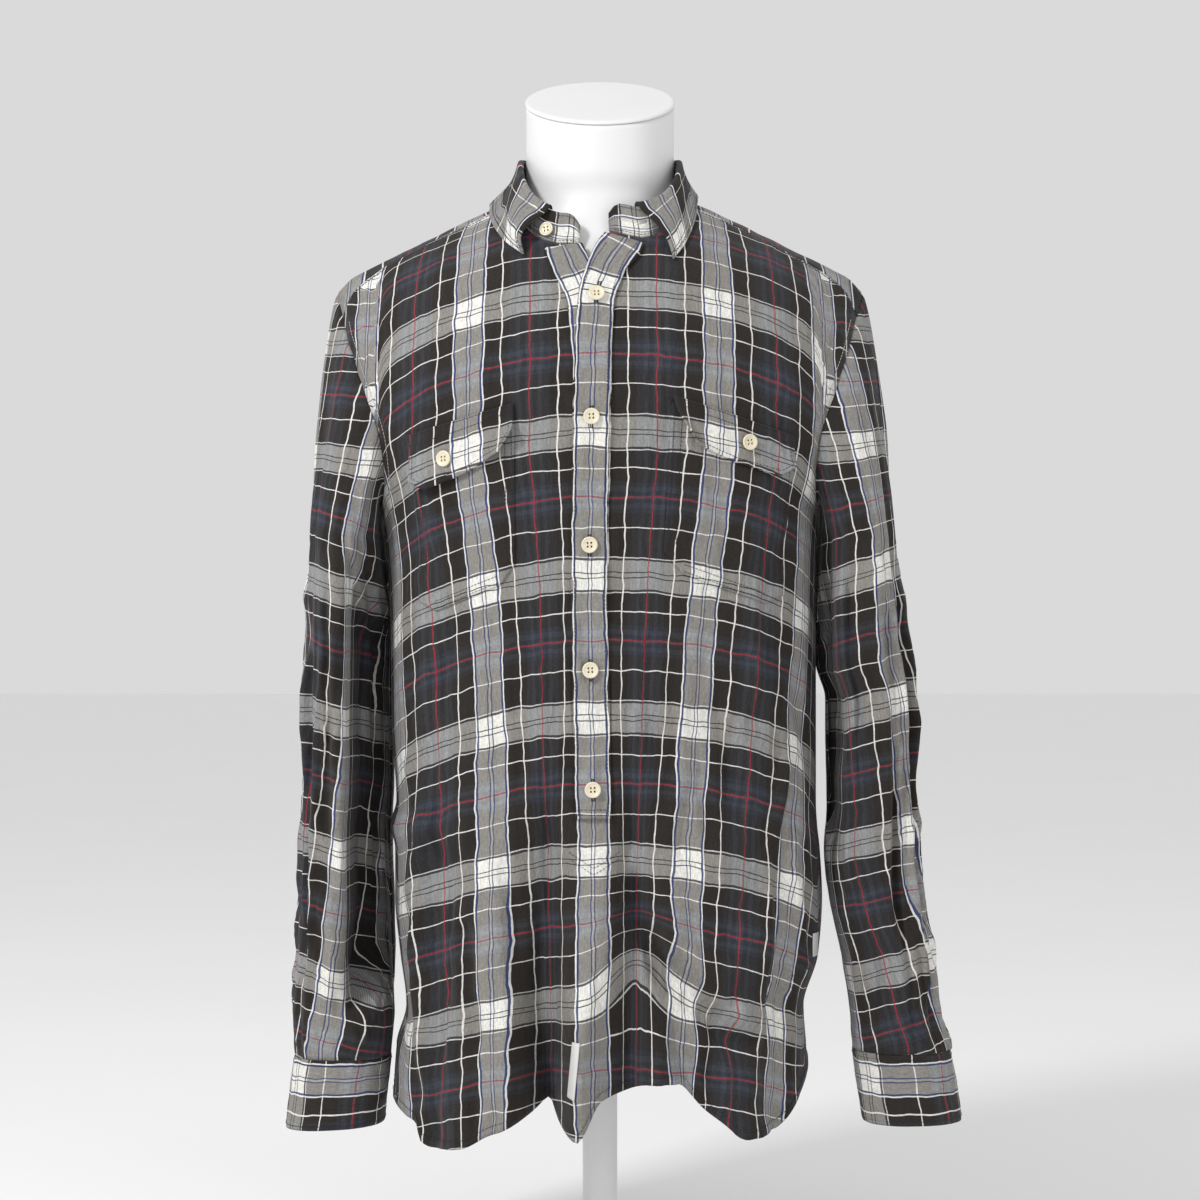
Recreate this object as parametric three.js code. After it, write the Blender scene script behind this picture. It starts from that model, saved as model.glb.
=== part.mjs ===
// A long-sleeved flannel shirt on a white limbless dress form with a slim stand.
// Millimetres, +Z up, -Y is the front, +X is the viewer's right. The origin is the centre of the
// stand's underside. "left" and "right" are the viewer's, looking at the front.
import * as THREE from "three";

// Driving dimensions of the shirt
const CLOTH = 1.6; // wall of a cloth panel
const COLLAR_CLOTH = 1.8; // collar, two layers and stiffening
const SEAM = 0.15; // each piece stays this far inside a seam line, so two pieces are 0.3 apart
const PATCH_GAP = 0.7; // between a panel and what lies on it
const UNDERARM_Z = 610;
const CHEST_Z = 680; // above this the body curves in towards the shoulders
const NECK_SIDE_Z = 863.5;
const NECK_SIDE_X = 68;
const SHOULDER_SLOPE = 0.485;
const TIP_X = 211; // where the shoulder ridge meets the sleeve
const CHEST_HALF_WIDTH = 218;
const FRONT_FULLNESS = 2; // exponents of the curve over the shoulder
const BACK_FULLNESS = 3.2;
const NECKLINE = { x: 68, frontLeft: 79, frontRight: 75, back: 68, centreY: -5, squareness: 3.5 };
const YOKE_FRONT = { atNeckY: -35, atSleeveY: -20 };
const YOKE_BACK_Z = { centre: 772, sleeve: 752 };
const STAND_HEIGHT = { back: 37, side: 32, front: 25 };
const OPEN = { leftX: -16, leftZ: 818, bottomX: -9, bottomZ: 800, rightX: 7, rightZ: 829 };

// Driving dimensions of the dress form and its stand
const FORM = { neckRadius: 59.7, neckY: -5, topZ: 943.5, topSlope: 0.44, bottomZ: 190, endX: 178 };
const FORM_EASE = 3.7; // between the cloth's outer face and the form, over the shoulders
const CAP_THICK = 4;
const POLE_RADIUS = 14;
const BASE = { radius: 138, thick: 14 };

// Panels: how many strips a panel is cut into across and along
const SEAM_COLUMNS = 6;
const NECK_COLUMNS = 6;
const UPPER_ROWS = 8;
const LOWER_ROWS = 13;
const BACK_COLUMNS = 22;

// Sections of the body, a row for each height
const BODY = [
  { z: 100, left: -166, right: 168, front: 127, back: 112 },
  { z: 150, left: -166, right: 168, front: 125, back: 110 },
  { z: 182, left: -164, right: 166, front: 123, back: 108 },
  { z: 213, left: -156, right: 164, front: 122, back: 107 },
  { z: 256, left: -161, right: 176, front: 120, back: 105 },
  { z: 300, left: -165, right: 179, front: 119, back: 103 },
  { z: 340, left: -165, right: 177, front: 118, back: 102 },
  { z: 358, left: -169, right: 175, front: 118, back: 101 },
  { z: 378, left: -164, right: 174, front: 118, back: 100 },
  { z: 440, left: -168, right: 174, front: 118, back: 98 },
  { z: 540, left: -169, right: 174, front: 121, back: 99 },
  { z: 610, left: -176, right: 176, front: 124, back: 103 },
  { z: 645, left: -196, right: 196, front: 125, back: 106 },
  { z: 680, left: -CHEST_HALF_WIDTH, right: CHEST_HALF_WIDTH, front: 125, back: 108 },
  { z: 900, left: -CHEST_HALF_WIDTH, right: CHEST_HALF_WIDTH, front: 125, back: 108 },
];

// The armhole on the body, a row for each height: how far out it runs on the front and the back
const ARMHOLE = [
  { z: 628, front: 170, back: 176 },
  { z: 660, front: 172, back: 180 },
  { z: 700, front: 184, back: 189 },
  { z: 744, front: 199, back: 200 },
  { z: 785, front: TIP_X, back: TIP_X },
];

// Front hem from left to right
const FRONT_HEM = [
  { x: -166, z: 148 },
  { x: -143, z: 138 },
  { x: -132, z: 122 },
  { x: -117, z: 113 },
  { x: -99, z: 116 },
  { x: -81, z: 130 },
  { x: -52, z: 143 },
  { x: -38, z: 155 },
  { x: -17, z: 127 },
  { x: 1, z: 155 },
  { x: 17, z: 162 },
  { x: 40, z: 168 },
  { x: 62, z: 168 },
  { x: 80, z: 150 },
  { x: 94, z: 137 },
  { x: 108, z: 124 },
  { x: 140, z: 127 },
  { x: 152, z: 142 },
  { x: 168, z: 168 },
];

// Back hem from the left side seam to the right one
const BACK_HEM = [
  { x: -166, z: 148 },
  { x: -140, z: 150 },
  { x: -100, z: 142 },
  { x: -40, z: 139 },
  { x: 40, z: 139 },
  { x: 100, z: 144 },
  { x: 145, z: 158 },
  { x: 168, z: 168 },
];

// Folds of the skirt: x at the hem, how far x moves for each mm up, where the fold starts,
// its half width and how far it stands out, negative for a trough
const FRONT_FOLDS = [
  { x: -39, lean: -0.02, top: 400, width: 13, out: -20 },
  { x: -62, lean: -0.12, top: 420, width: 14, out: 6 },
  { x: -14, lean: 0.02, top: 340, width: 14, out: 11 },
  { x: 22, lean: 0.02, top: 440, width: 12, out: -9 },
  { x: 78, lean: -0.35, top: 330, width: 13, out: -7 },
  { x: 112, lean: -0.05, top: 420, width: 18, out: 8 },
  { x: -128, lean: 0, top: 560, width: 9, out: -5 },
  { x: -104, lean: 0.01, top: 420, width: 18, out: 8 },
  { x: 140, lean: 0.0, top: 520, width: 9, out: -5 },
];
const BACK_FOLDS = [
  { x: -118, lean: 0.04, top: 520, width: 14, out: -8 },
  { x: -72, lean: 0.05, top: 620, width: 17, out: 8 },
  { x: -28, lean: 0.02, top: 560, width: 15, out: -9 },
  { x: 14, lean: -0.02, top: 640, width: 17, out: 7 },
  { x: 58, lean: -0.04, top: 540, width: 14, out: -9 },
  { x: 104, lean: -0.06, top: 600, width: 18, out: 7 },
];

// Sleeve, a row for each height, in mm out from the body's middle: its inner and outer edge,
// where its middle lies from front to back, and half its depth
const SLEEVE_LEFT = [
  { z: 590, inner: 180, outer: 232, y: 2, depth: 79 },
  { z: 540, inner: 170.7, outer: 235, y: 1, depth: 80 },
  { z: 470, inner: 170.2, outer: 237, y: -1, depth: 76 },
  { z: 400, inner: 169.4, outer: 238, y: -4, depth: 70 },
  { z: 350, inner: 170.9, outer: 239, y: -8, depth: 64 },
  { z: 300, inner: 169, outer: 240, y: -11, depth: 58 },
  { z: 250, inner: 167, outer: 243, y: -14, depth: 51 },
  { z: 210, inner: 166, outer: 245, y: -16, depth: 45 },
  { z: 176, inner: 168, outer: 245, y: -17, depth: 39 },
];
const SLEEVE_RIGHT = [
  { z: 590, inner: 180.5, outer: 236, y: 2, depth: 79 },
  { z: 540, inner: 176, outer: 243, y: 1, depth: 80 },
  { z: 490, inner: 176, outer: 248, y: -1, depth: 77 },
  { z: 460, inner: 184, outer: 251, y: -2, depth: 75 },
  { z: 378, inner: 185, outer: 253.5, y: -6, depth: 67 },
  { z: 338, inner: 181, outer: 256, y: -9, depth: 62 },
  { z: 300, inner: 185, outer: 259, y: -11, depth: 57 },
  { z: 250, inner: 195.5, outer: 267, y: -14, depth: 50 },
  { z: 210, inner: 201.5, outer: 270, y: -16, depth: 44 },
  { z: 181, inner: 203, outer: 281, y: -17, depth: 39 },
];
// Cuff: the same columns
const CUFF_LEFT = [
  { z: 175.65, inner: 168, outer: 245, y: -17, depth: 39 },
  { z: 150, inner: 170.5, outer: 248, y: -17, depth: 39.5 },
  { z: 121, inner: 173, outer: 252, y: -17, depth: 40 },
];
const CUFF_RIGHT = [
  { z: 180.65, inner: 203, outer: 281, y: -17, depth: 39 },
  { z: 150, inner: 207, outer: 286, y: -17, depth: 39.5 },
  { z: 124, inner: 211, outer: 290, y: -17, depth: 40 },
];

// Collar leaf: where it starts and ends on the stand, and its outer edge from its left front
// point round the back to its right one
const LEAF_FROM_X = -38;
const LEAF_TO_X = 28;
const COLLAR = [
  { share: 0, edgeX: -60, edgeY: -90, edgeZ: 809 },
  { share: 0.08, edgeX: -74, edgeY: -73, edgeZ: 819 },
  { share: 0.17, edgeX: -85, edgeY: -44, edgeZ: 838 },
  { share: 0.26, edgeX: -89, edgeY: -14, edgeZ: 858 },
  { share: 0.36, edgeX: -78, edgeY: 40, edgeZ: 857 },
  { share: 0.44, edgeX: -46, edgeY: 72, edgeZ: 853 },
  { share: 0.5, edgeX: 0, edgeY: 84, edgeZ: 850 },
  { share: 0.56, edgeX: 45, edgeY: 73, edgeZ: 855 },
  { share: 0.64, edgeX: 75, edgeY: 40, edgeZ: 862 },
  { share: 0.74, edgeX: 79, edgeY: -14, edgeZ: 864 },
  { share: 0.83, edgeX: 76, edgeY: -46, edgeZ: 845 },
  { share: 0.92, edgeX: 67, edgeY: -76, edgeZ: 818 },
  { share: 1, edgeX: 57, edgeY: -90, edgeZ: 804 },
];

// Half placket: the middle line of each strip, from its end up to the neck
const PLACKET_HALF = 14;
const PLACKET_TOP = [
  { z: 372, x: -5 },
  { z: 560, x: -8 },
  { z: 700, x: -6 },
  { z: 770, x: -3 },
  { z: 800, x: 6 },
  { z: 821, x: 20 },
];
const PLACKET_UNDER = [
  { z: 374, x: -5 },
  { z: 560, x: -8 },
  { z: 700, x: -7 },
  { z: 770, x: -11 },
  { z: 802, x: -23 },
  { z: 816, x: -29 },
];

// Pockets and flaps: corners on the front, x and z
const POCKETS = {
  left: {
    bag: {
      topLeft: [-147, 652],
      topRight: [-66, 687],
      bottomLeft: [-139, 527],
      bottomRight: [-65, 556],
    },
    flap: {
      topLeft: [-150, 668],
      topRight: [-66, 691],
      bottomLeft: [-140, 622],
      bottomRight: [-66, 660],
      point: 4,
    },
  },
  right: {
    bag: {
      topLeft: [55, 692],
      topRight: [150, 660],
      bottomLeft: [49, 565],
      bottomRight: [143, 532],
    },
    flap: {
      topLeft: [54, 697],
      topRight: [150, 668],
      bottomLeft: [60, 664],
      bottomRight: [147, 634],
      point: 4,
    },
  },
};

// Plain tapes: one on the hem beside the placket's fold, one in the right side seam
const TAPE_THICK = 0.8;
const TAPES = {
  hem: { topLeft: [-23, 203], topRight: [-16, 202], bottomLeft: [-23, 160], bottomRight: [-16, 158] },
  side: { topLeft: [168, 276], topRight: [173, 276], bottomLeft: [168, 257], bottomRight: [173, 257] },
};

// Strip over each cuff's opening: how many of the sleeve's rings it runs over
const SLEEVE_PLACKET = { rings: 4, share: 0.7 };

// Buttons: radius, thickness and where each sits
const BUTTON = { radius: 6.3, thick: 2.6, collarRadius: 5.7, sides: 14 };
const PLACKET_BUTTONS = [774, 680.5, 582.5, 486.5, 394.5];
const POCKET_BUTTONS = { left: [-118, 649], right: [113, 662] };

// Colours
const FLANNEL = { color: 0x2b2a2e, roughness: 0.95, metalness: 0 };
const CREAM = { color: 0xe8dcc0, roughness: 0.45, metalness: 0 };
const WHITE = { color: 0xf2f2f2, roughness: 0.5, metalness: 0 };
const TAPE = { color: 0xe6e4de, roughness: 0.8, metalness: 0 };
const STEEL = { color: 0xe8e8e8, roughness: 0.35, metalness: 0.1 };

// Small helpers
const lerp = (a, b, t) => a + (b - a) * t;
const clamp = (v, low, high) => Math.min(high, Math.max(low, v));
const ease = (t) => t * t * (3 - 2 * t);
const count = (n) => Array.from({ length: n }, (_, i) => i);

// A table's column at a place, smooth between its rows (monotone slopes, no overshoot).
function read(table, key, column, at) {
  const last = table.length - 1;
  const sign = table[last][key] > table[0][key] ? 1 : -1;
  const where = (r) => sign * table[r][key];
  const target = clamp(sign * at, where(0), where(last));
  let k = 0;
  while (k < last - 1 && where(k + 1) < target) k += 1;
  const step = (r) => (table[r + 1][column] - table[r][column]) / (where(r + 1) - where(r));
  const slope = (r) => {
    if (r === 0) return step(0);
    if (r === last) return step(last - 1);
    const [before, after] = [step(r - 1), step(r)];
    return before * after <= 0 ? 0 : (2 * before * after) / (before + after);
  };
  const span = where(k + 1) - where(k);
  const t = (target - where(k)) / span;
  const [a, b] = [table[k][column], table[k + 1][column]];
  const [ma, mb] = [slope(k) * span, slope(k + 1) * span];
  return (
    (2 * t ** 3 - 3 * t * t + 1) * a +
    (t ** 3 - 2 * t * t + t) * ma +
    (3 * t * t - 2 * t ** 3) * b +
    (t ** 3 - t * t) * mb
  );
}

// The body's surface
const ridgeZ = (x) => {
  const out = Math.abs(x) - NECK_SIDE_X;
  const soft = (out + Math.hypot(out, 12)) / 2;
  const tip = Math.max(0, Math.abs(x) - 196);
  return NECK_SIDE_Z + 2 - SHOULDER_SLOPE * soft - 0.03 * tip * tip;
};

// How far the body reaches in front of, or behind, the middle plane at x and height z.
function depthAt(side, x, z) {
  const low = read(BODY, "z", "left", z);
  const high = read(BODY, "z", "right", z);
  const middle = (low + high) / 2;
  const part = clamp(Math.abs(x - middle) / ((high - low) / 2), 0, 1);
  const blend = ease(clamp((z - UNDERARM_Z) / (CHEST_Z - UNDERARM_Z), 0, 1));
  const roundness = lerp(2.4, 2.2, blend);
  const power = lerp(0.43, 0.66, blend);
  const full = read(BODY, "z", side, z) * (1 - part ** roundness) ** power;
  const exponent = side === "front" ? FRONT_FULLNESS : BACK_FULLNESS;
  const rise = clamp((z - CHEST_Z) / (ridgeZ(x) - CHEST_Z), 0, 1);
  return full * (1 - rise ** exponent) ** (1 / exponent);
}

// The same surface over the shoulders, as a height above x, y.
function shoulderZ(x, y) {
  const side = y < 0 ? "front" : "back";
  const exponent = side === "front" ? FRONT_FULLNESS : BACK_FULLNESS;
  const full = depthAt(side, x, CHEST_Z);
  const part = clamp(Math.abs(y) / full, 0, 1);
  return CHEST_Z + (ridgeZ(x) - CHEST_Z) * (1 - part ** exponent) ** (1 / exponent);
}

function foldOut(side, x, z) {
  const folds = side === "front" ? FRONT_FOLDS : BACK_FOLDS;
  return folds.reduce((sum, f) => {
    const from = x - (f.x + f.lean * (z - 150));
    const strength = ease(clamp((f.top - z) / (f.top - 170), 0, 1));
    return sum + f.out * strength * Math.exp(-((from / f.width) ** 2));
  }, 0);
}

// A point of a side's panel with its outward normal, at x and height z.
function bodyPoint(side, x, z) {
  const sign = side === "front" ? -1 : 1;
  const low = read(BODY, "z", "left", z);
  const high = read(BODY, "z", "right", z);
  const middle = (low + high) / 2;
  const xIn = middle + (x - middle) * 0.9985;
  const h = 0.05;
  const slopeX = (depthAt(side, xIn + h, z) - depthAt(side, xIn - h, z)) / (2 * h);
  const slopeZ = (depthAt(side, xIn, z + h) - depthAt(side, xIn, z - h)) / (2 * h);
  const normal = new THREE.Vector3(-slopeX, sign, -slopeZ).normalize();
  const fade = ease(clamp((Math.min(x - low, high - x) - 6) / 25, 0, 1));
  const base = new THREE.Vector3(x, sign * depthAt(side, x, z), z);
  return { at: base.addScaledVector(normal, foldOut(side, x, z) * fade), normal };
}

function shoulderPoint(x, y) {
  const h = 0.05;
  const slopeX = (shoulderZ(x + h, y) - shoulderZ(x - h, y)) / (2 * h);
  const slopeY = (shoulderZ(x, y + h) - shoulderZ(x, y - h)) / (2 * h);
  const normal = new THREE.Vector3(-slopeX, -slopeY, 1).normalize();
  return { at: new THREE.Vector3(x, y, shoulderZ(x, y)), normal };
}

// Lengths along a level section, so that columns can be spaced by cloth and not by x.
const SECTION_STEPS = 90;
function sectionFrom(side, z, direction) {
  const low = read(BODY, "z", "left", z);
  const high = read(BODY, "z", "right", z);
  const middle = (low + high) / 2;
  const reach = (high - low) / 2;
  const rows = [{ x: middle, s: 0 }];
  let before = [middle, depthAt(side, middle, z)];
  for (const i of count(SECTION_STEPS)) {
    const x = middle + direction * reach * Math.sin((Math.PI / 2) * ((i + 1) / SECTION_STEPS));
    if (ridgeZ(x) < z) break;
    const now = [x, depthAt(side, x, z)];
    const s = rows[rows.length - 1].s + Math.hypot(now[0] - before[0], now[1] - before[1]);
    rows.push({ x, s });
    before = now;
  }
  return rows;
}
const along = (rows, from, to, value) => {
  let k = 0;
  const rising = rows[rows.length - 1][from] > rows[0][from] ? 1 : -1;
  while (k < rows.length - 2 && rising * rows[k + 1][from] < rising * value) k += 1;
  const t = (value - rows[k][from]) / (rows[k + 1][from] - rows[k][from]);
  return lerp(rows[k][to], rows[k + 1][to], clamp(t, 0, 1));
};
function lengthAt(side, x, z) {
  const middle = (read(BODY, "z", "left", z) + read(BODY, "z", "right", z)) / 2;
  const direction = x < middle ? -1 : 1;
  return direction * along(sectionFrom(side, z, direction), "x", "s", x);
}
function xAtLength(side, s, z) {
  const direction = s < 0 ? -1 : 1;
  return along(sectionFrom(side, z, direction), "s", "x", Math.abs(s));
}

// Closed solid between an outer and an inner grid of points. A ring closes on itself.
function wall(outer, inner, ring = false) {
  const rows = outer.length;
  const columns = outer[0].length;
  const points = [...outer.flat(), ...inner.flat()];
  const faces = [];
  const quad = (a, b, c, d) => faces.push(a, b, c, a, c, d);
  const o = (r, c) => r * columns + (c % columns);
  const n = (r, c) => rows * columns + o(r, c);
  const across = ring ? columns : columns - 1;
  for (const r of count(rows - 1))
    for (const c of count(across)) {
      quad(o(r, c), o(r, c + 1), o(r + 1, c + 1), o(r + 1, c));
      quad(n(r, c), n(r + 1, c), n(r + 1, c + 1), n(r, c + 1));
    }
  for (const c of count(across)) {
    quad(o(0, c + 1), o(0, c), n(0, c), n(0, c + 1));
    quad(o(rows - 1, c), o(rows - 1, c + 1), n(rows - 1, c + 1), n(rows - 1, c));
  }
  if (!ring)
    for (const r of count(rows - 1)) {
      quad(o(r, 0), o(r + 1, 0), n(r + 1, 0), n(r, 0));
      quad(o(r + 1, columns - 1), o(r, columns - 1), n(r, columns - 1), n(r + 1, columns - 1));
    }
  return solid(points, faces);
}

// Closed solid from stacked rings, with both ends filled by a fan.
function stack(rings) {
  const columns = rings[0].length;
  const middle = (ring) =>
    ring.reduce((sum, p) => sum.add(p), new THREE.Vector3()).multiplyScalar(1 / columns);
  const points = [...rings.flat(), middle(rings[0]), middle(rings[rings.length - 1])];
  const bottom = points.length - 2;
  const faces = [];
  for (const r of count(rings.length - 1))
    for (const c of count(columns)) {
      const [a, b] = [r * columns + c, r * columns + ((c + 1) % columns)];
      faces.push(a, b, b + columns, a, b + columns, a + columns);
    }
  for (const c of count(columns)) {
    const next = (c + 1) % columns;
    const top = (rings.length - 1) * columns;
    faces.push(bottom, next, c, bottom + 1, top + c, top + next);
  }
  return solid(points, faces);
}

// A mesh's geometry with its faces turned outwards.
function solid(points, faces) {
  let volume = 0;
  for (let i = 0; i < faces.length; i += 3) {
    const [a, b, c] = [points[faces[i]], points[faces[i + 1]], points[faces[i + 2]]];
    volume += a.dot(new THREE.Vector3().crossVectors(b, c));
  }
  if (volume < 0)
    for (let i = 0; i < faces.length; i += 3)
      [faces[i + 1], faces[i + 2]] = [faces[i + 2], faces[i + 1]];
  const geometry = new THREE.BufferGeometry();
  geometry.setAttribute(
    "position",
    new THREE.Float32BufferAttribute(points.flatMap((p) => [p.x, p.y, p.z]), 3),
  );
  geometry.setIndex(faces);
  geometry.computeVertexNormals();
  return geometry;
}

// Way out of a grid across its border at one point, in the cloth's own plane. before and after
// are the border's points on each side, and inside is any point well within the panel.
function wayOut(p, before, after, inside) {
  const way = after.clone().sub(before).cross(p.normal).normalize();
  return way.dot(p.at.clone().sub(inside)) < 0 ? way.negate() : way;
}
// Pull a grid's border in by SEAM. Each entry of the grid is { at, normal }.
function trimmed(grid) {
  const [rows, columns] = [grid.length, grid[0].length];
  const at = (r, c) => grid[clamp(r, 0, rows - 1)][clamp(c, 0, columns - 1)].at;
  const [midRow, midColumn] = [Math.floor(rows / 2), Math.floor(columns / 2)];
  return grid.map((row, r) =>
    row.map((p, c) => {
      const moved = p.at.clone();
      if (r === 0 || r === rows - 1)
        moved.addScaledVector(wayOut(p, at(r, c - 1), at(r, c + 1), at(midRow, c)), -SEAM);
      if (c === 0 || c === columns - 1)
        moved.addScaledVector(wayOut(p, at(r - 1, c), at(r + 1, c), at(r, midColumn)), -SEAM);
      return { at: moved, normal: p.normal };
    }),
  );
}
const offset = (grid, by) =>
  grid.map((row) => row.map((p) => p.at.clone().addScaledVector(p.normal, by)));
const panel = (grid, thick) => wall(offset(grid, 0), offset(grid, -thick));

// Neckline: its place in plan, then on the surface
function necklinePoint(angle) {
  // angle 0 is the middle of the front, positive to the right, PI the middle of the back
  const x = NECKLINE.x * Math.sin(angle);
  const part = Math.abs(x) / NECKLINE.x;
  const isFront = Math.cos(angle) > 0;
  const power = isFront ? NECKLINE.squareness : 2.3;
  const reach = (1 - part ** power) ** (1 / power);
  const front = x < 0 ? NECKLINE.frontLeft : NECKLINE.frontRight;
  const y = NECKLINE.centreY + (isFront ? -front : NECKLINE.back) * reach;
  return shoulderPoint(x, y);
}
const neckCorner = (sign) => {
  let angle = Math.PI / 2;
  while (necklinePoint(sign * angle).at.y > YOKE_FRONT.atNeckY) angle -= 0.002;
  return angle;
};
const NECK_CORNER = { left: neckCorner(-1), right: neckCorner(1) };

// Armhole edge on one side of the body
const armholeX = (side, z) => {
  const reach = read(BODY, "z", "right", UNDERARM_Z);
  return read([{ z: UNDERARM_Z, front: reach, back: reach }, ...ARMHOLE], "z", side, z);
};
const sleeveEndZ = (side) => {
  if (side === "back") return YOKE_BACK_Z.sleeve;
  let z = 780;
  while (depthAt("front", armholeX("front", z), z) < -YOKE_FRONT.atSleeveY) z -= 0.5;
  return z;
};

// Front panel
const FRONT_COLUMNS = 2 * (SEAM_COLUMNS + NECK_COLUMNS) + 2;
function frontTop() {
  const points = [];
  const z = sleeveEndZ("front");
  const end = { x: armholeX("front", z), y: -depthAt("front", armholeX("front", z), z) };
  const half = (sign, open) => {
    const cornerAngle = sign < 0 ? NECK_CORNER.left : NECK_CORNER.right;
    const corner = necklinePoint(sign * cornerAngle).at;
    const list = [];
    for (const i of count(SEAM_COLUMNS)) {
      const t = i / SEAM_COLUMNS;
      list.push(shoulderPoint(lerp(sign * end.x, corner.x, t), lerp(end.y, corner.y, t)).at);
    }
    for (const i of count(NECK_COLUMNS)) {
      const t = i / NECK_COLUMNS;
      list.push(necklinePoint(sign * lerp(cornerAngle, 0.3, t)).at);
    }
    list.push(bodyPoint("front", open.x, open.z).at);
    return list;
  };
  points.push(...half(-1, { x: OPEN.leftX, z: OPEN.leftZ }));
  points.push(bodyPoint("front", OPEN.bottomX, OPEN.bottomZ).at);
  points.push(...half(1, { x: OPEN.rightX, z: OPEN.rightZ }).reverse());
  return points;
}
const FRONT_TOP = frontTop();

// Columns at the underarm, evenly along the cloth; a wanted point of the panel in cloth
// length and height.
function panelGrid(side, top, columns, hem) {
  const underarm = (i) => {
    const reach = [-1, 1].map((d) => {
      const rows = sectionFrom(side, UNDERARM_Z, d);
      return rows[rows.length - 1].s;
    });
    return lerp(-reach[0], reach[1], i / columns);
  };
  const topCloth = top.map((p) => ({ s: lengthAt(side, p.x, p.z), z: p.z }));
  const grid = [];
  for (const r of count(LOWER_ROWS)) {
    const down = r / LOWER_ROWS;
    grid.push(
      count(columns + 1).map((i) => {
        const u = i / columns;
        const level = (z) => {
          const ends = [-1, 1].map((d) => {
            const rows = sectionFrom(side, z, d);
            return rows[rows.length - 1].s;
          });
          return xAtLength(side, lerp(-ends[0], ends[1], u), z);
        };
        const hemZ = read(hem, "x", "z", level(150));
        const z = lerp(hemZ, UNDERARM_Z, down);
        return bodyPoint(side, level(z), z);
      }),
    );
  }
  const cornerZ = top[0].z;
  const edge = (sign, v) => {
    const z = lerp(UNDERARM_Z, cornerZ, v);
    const x = sign * armholeX(side, z);
    return { s: lengthAt(side, v === 0 ? sign * 300 : x, z), z };
  };
  for (const r of count(UPPER_ROWS + 1)) {
    const v = (r / UPPER_ROWS) ** 1.1;
    grid.push(
      count(columns + 1).map((i) => {
        const u = i / columns;
        const blend = (key) => {
          const [low, high] = [{ s: underarm(i), z: UNDERARM_Z }, topCloth[i]];
          const [left, right] = [edge(-1, v), edge(1, v)];
          const corners =
            (1 - u) * (1 - v) * edge(-1, 0)[key] +
            u * (1 - v) * edge(1, 0)[key] +
            (1 - u) * v * topCloth[0][key] +
            u * v * topCloth[columns][key];
          return (
            (1 - v) * low[key] + v * high[key] + (1 - u) * left[key] + u * right[key] - corners
          );
        };
        if (r === UPPER_ROWS) return bodyPoint(side, top[i].x, top[i].z);
        const z = blend("z");
        return bodyPoint(side, xAtLength(side, blend("s"), z), z);
      }),
    );
  }
  return grid;
}
const FRONT_GRID = panelGrid("front", FRONT_TOP, FRONT_COLUMNS, FRONT_HEM);

// Back panel
function backTop() {
  const end = armholeX("back", YOKE_BACK_Z.sleeve);
  return count(BACK_COLUMNS + 1).map((i) => {
    const x = lerp(-end, end, i / BACK_COLUMNS);
    const z = lerp(YOKE_BACK_Z.centre, YOKE_BACK_Z.sleeve, (Math.abs(x) / end) ** 2);
    return bodyPoint("back", x, z).at;
  });
}
const BACK_TOP = backTop();
const BACK_GRID = panelGrid("back", BACK_TOP, BACK_COLUMNS, BACK_HEM);

// Yoke: from the neckline out to the front seams, the armholes and the back seam
const YOKE_SIDE = 4;
const YOKE_ACROSS = SEAM_COLUMNS;
function yokeOuter() {
  const list = [];
  const ends = { front: sleeveEndZ("front"), back: YOKE_BACK_Z.sleeve };
  const tipZ = ridgeZ(TIP_X) - 0.3;
  const shoulder = (sign) => {
    const front = count(YOKE_SIDE / 2).map((i) => {
      const z = tipZ - (tipZ - ends.front) * (1 - i / (YOKE_SIDE / 2)) ** 2;
      return [sign * armholeX("front", z), -depthAt("front", armholeX("front", z), z)];
    });
    const back = count(YOKE_SIDE / 2 + 1).map((i) => {
      const z = tipZ - (tipZ - ends.back) * (i / (YOKE_SIDE / 2)) ** 2;
      return [sign * armholeX("back", z), depthAt("back", armholeX("back", z), z)];
    });
    back[0][1] = 0;
    return [...front, ...back];
  };
  const left = shoulder(-1);
  list.push(...left.map(([x, y]) => shoulderPoint(x, y)));
  list.push(...BACK_TOP.slice(1, -1).map((p) => bodyPoint("back", p.x, p.z)));
  const right = shoulder(1).reverse();
  list.push(...right.map(([x, y]) => shoulderPoint(x, y)));
  return list;
}
const YOKE_OUTER = yokeOuter();
const YOKE_GRID = (() => {
  const columns = YOKE_OUTER.length - 1;
  const inner = count(columns + 1).map((i) => {
    return necklinePoint(-lerp(NECK_CORNER.left, 2 * Math.PI - NECK_CORNER.right, i / columns));
  });
  return count(YOKE_ACROSS + 1).map((r) =>
    count(columns + 1).map((i) => {
      const t = r / YOKE_ACROSS;
      if (r === 0) return inner[i];
      if (r === YOKE_ACROSS) return YOKE_OUTER[i];
      const x = lerp(inner[i].at.x, YOKE_OUTER[i].at.x, t);
      const y = lerp(inner[i].at.y, YOKE_OUTER[i].at.y, t);
      return shoulderPoint(x, y);
    }),
  );
})();

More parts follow.
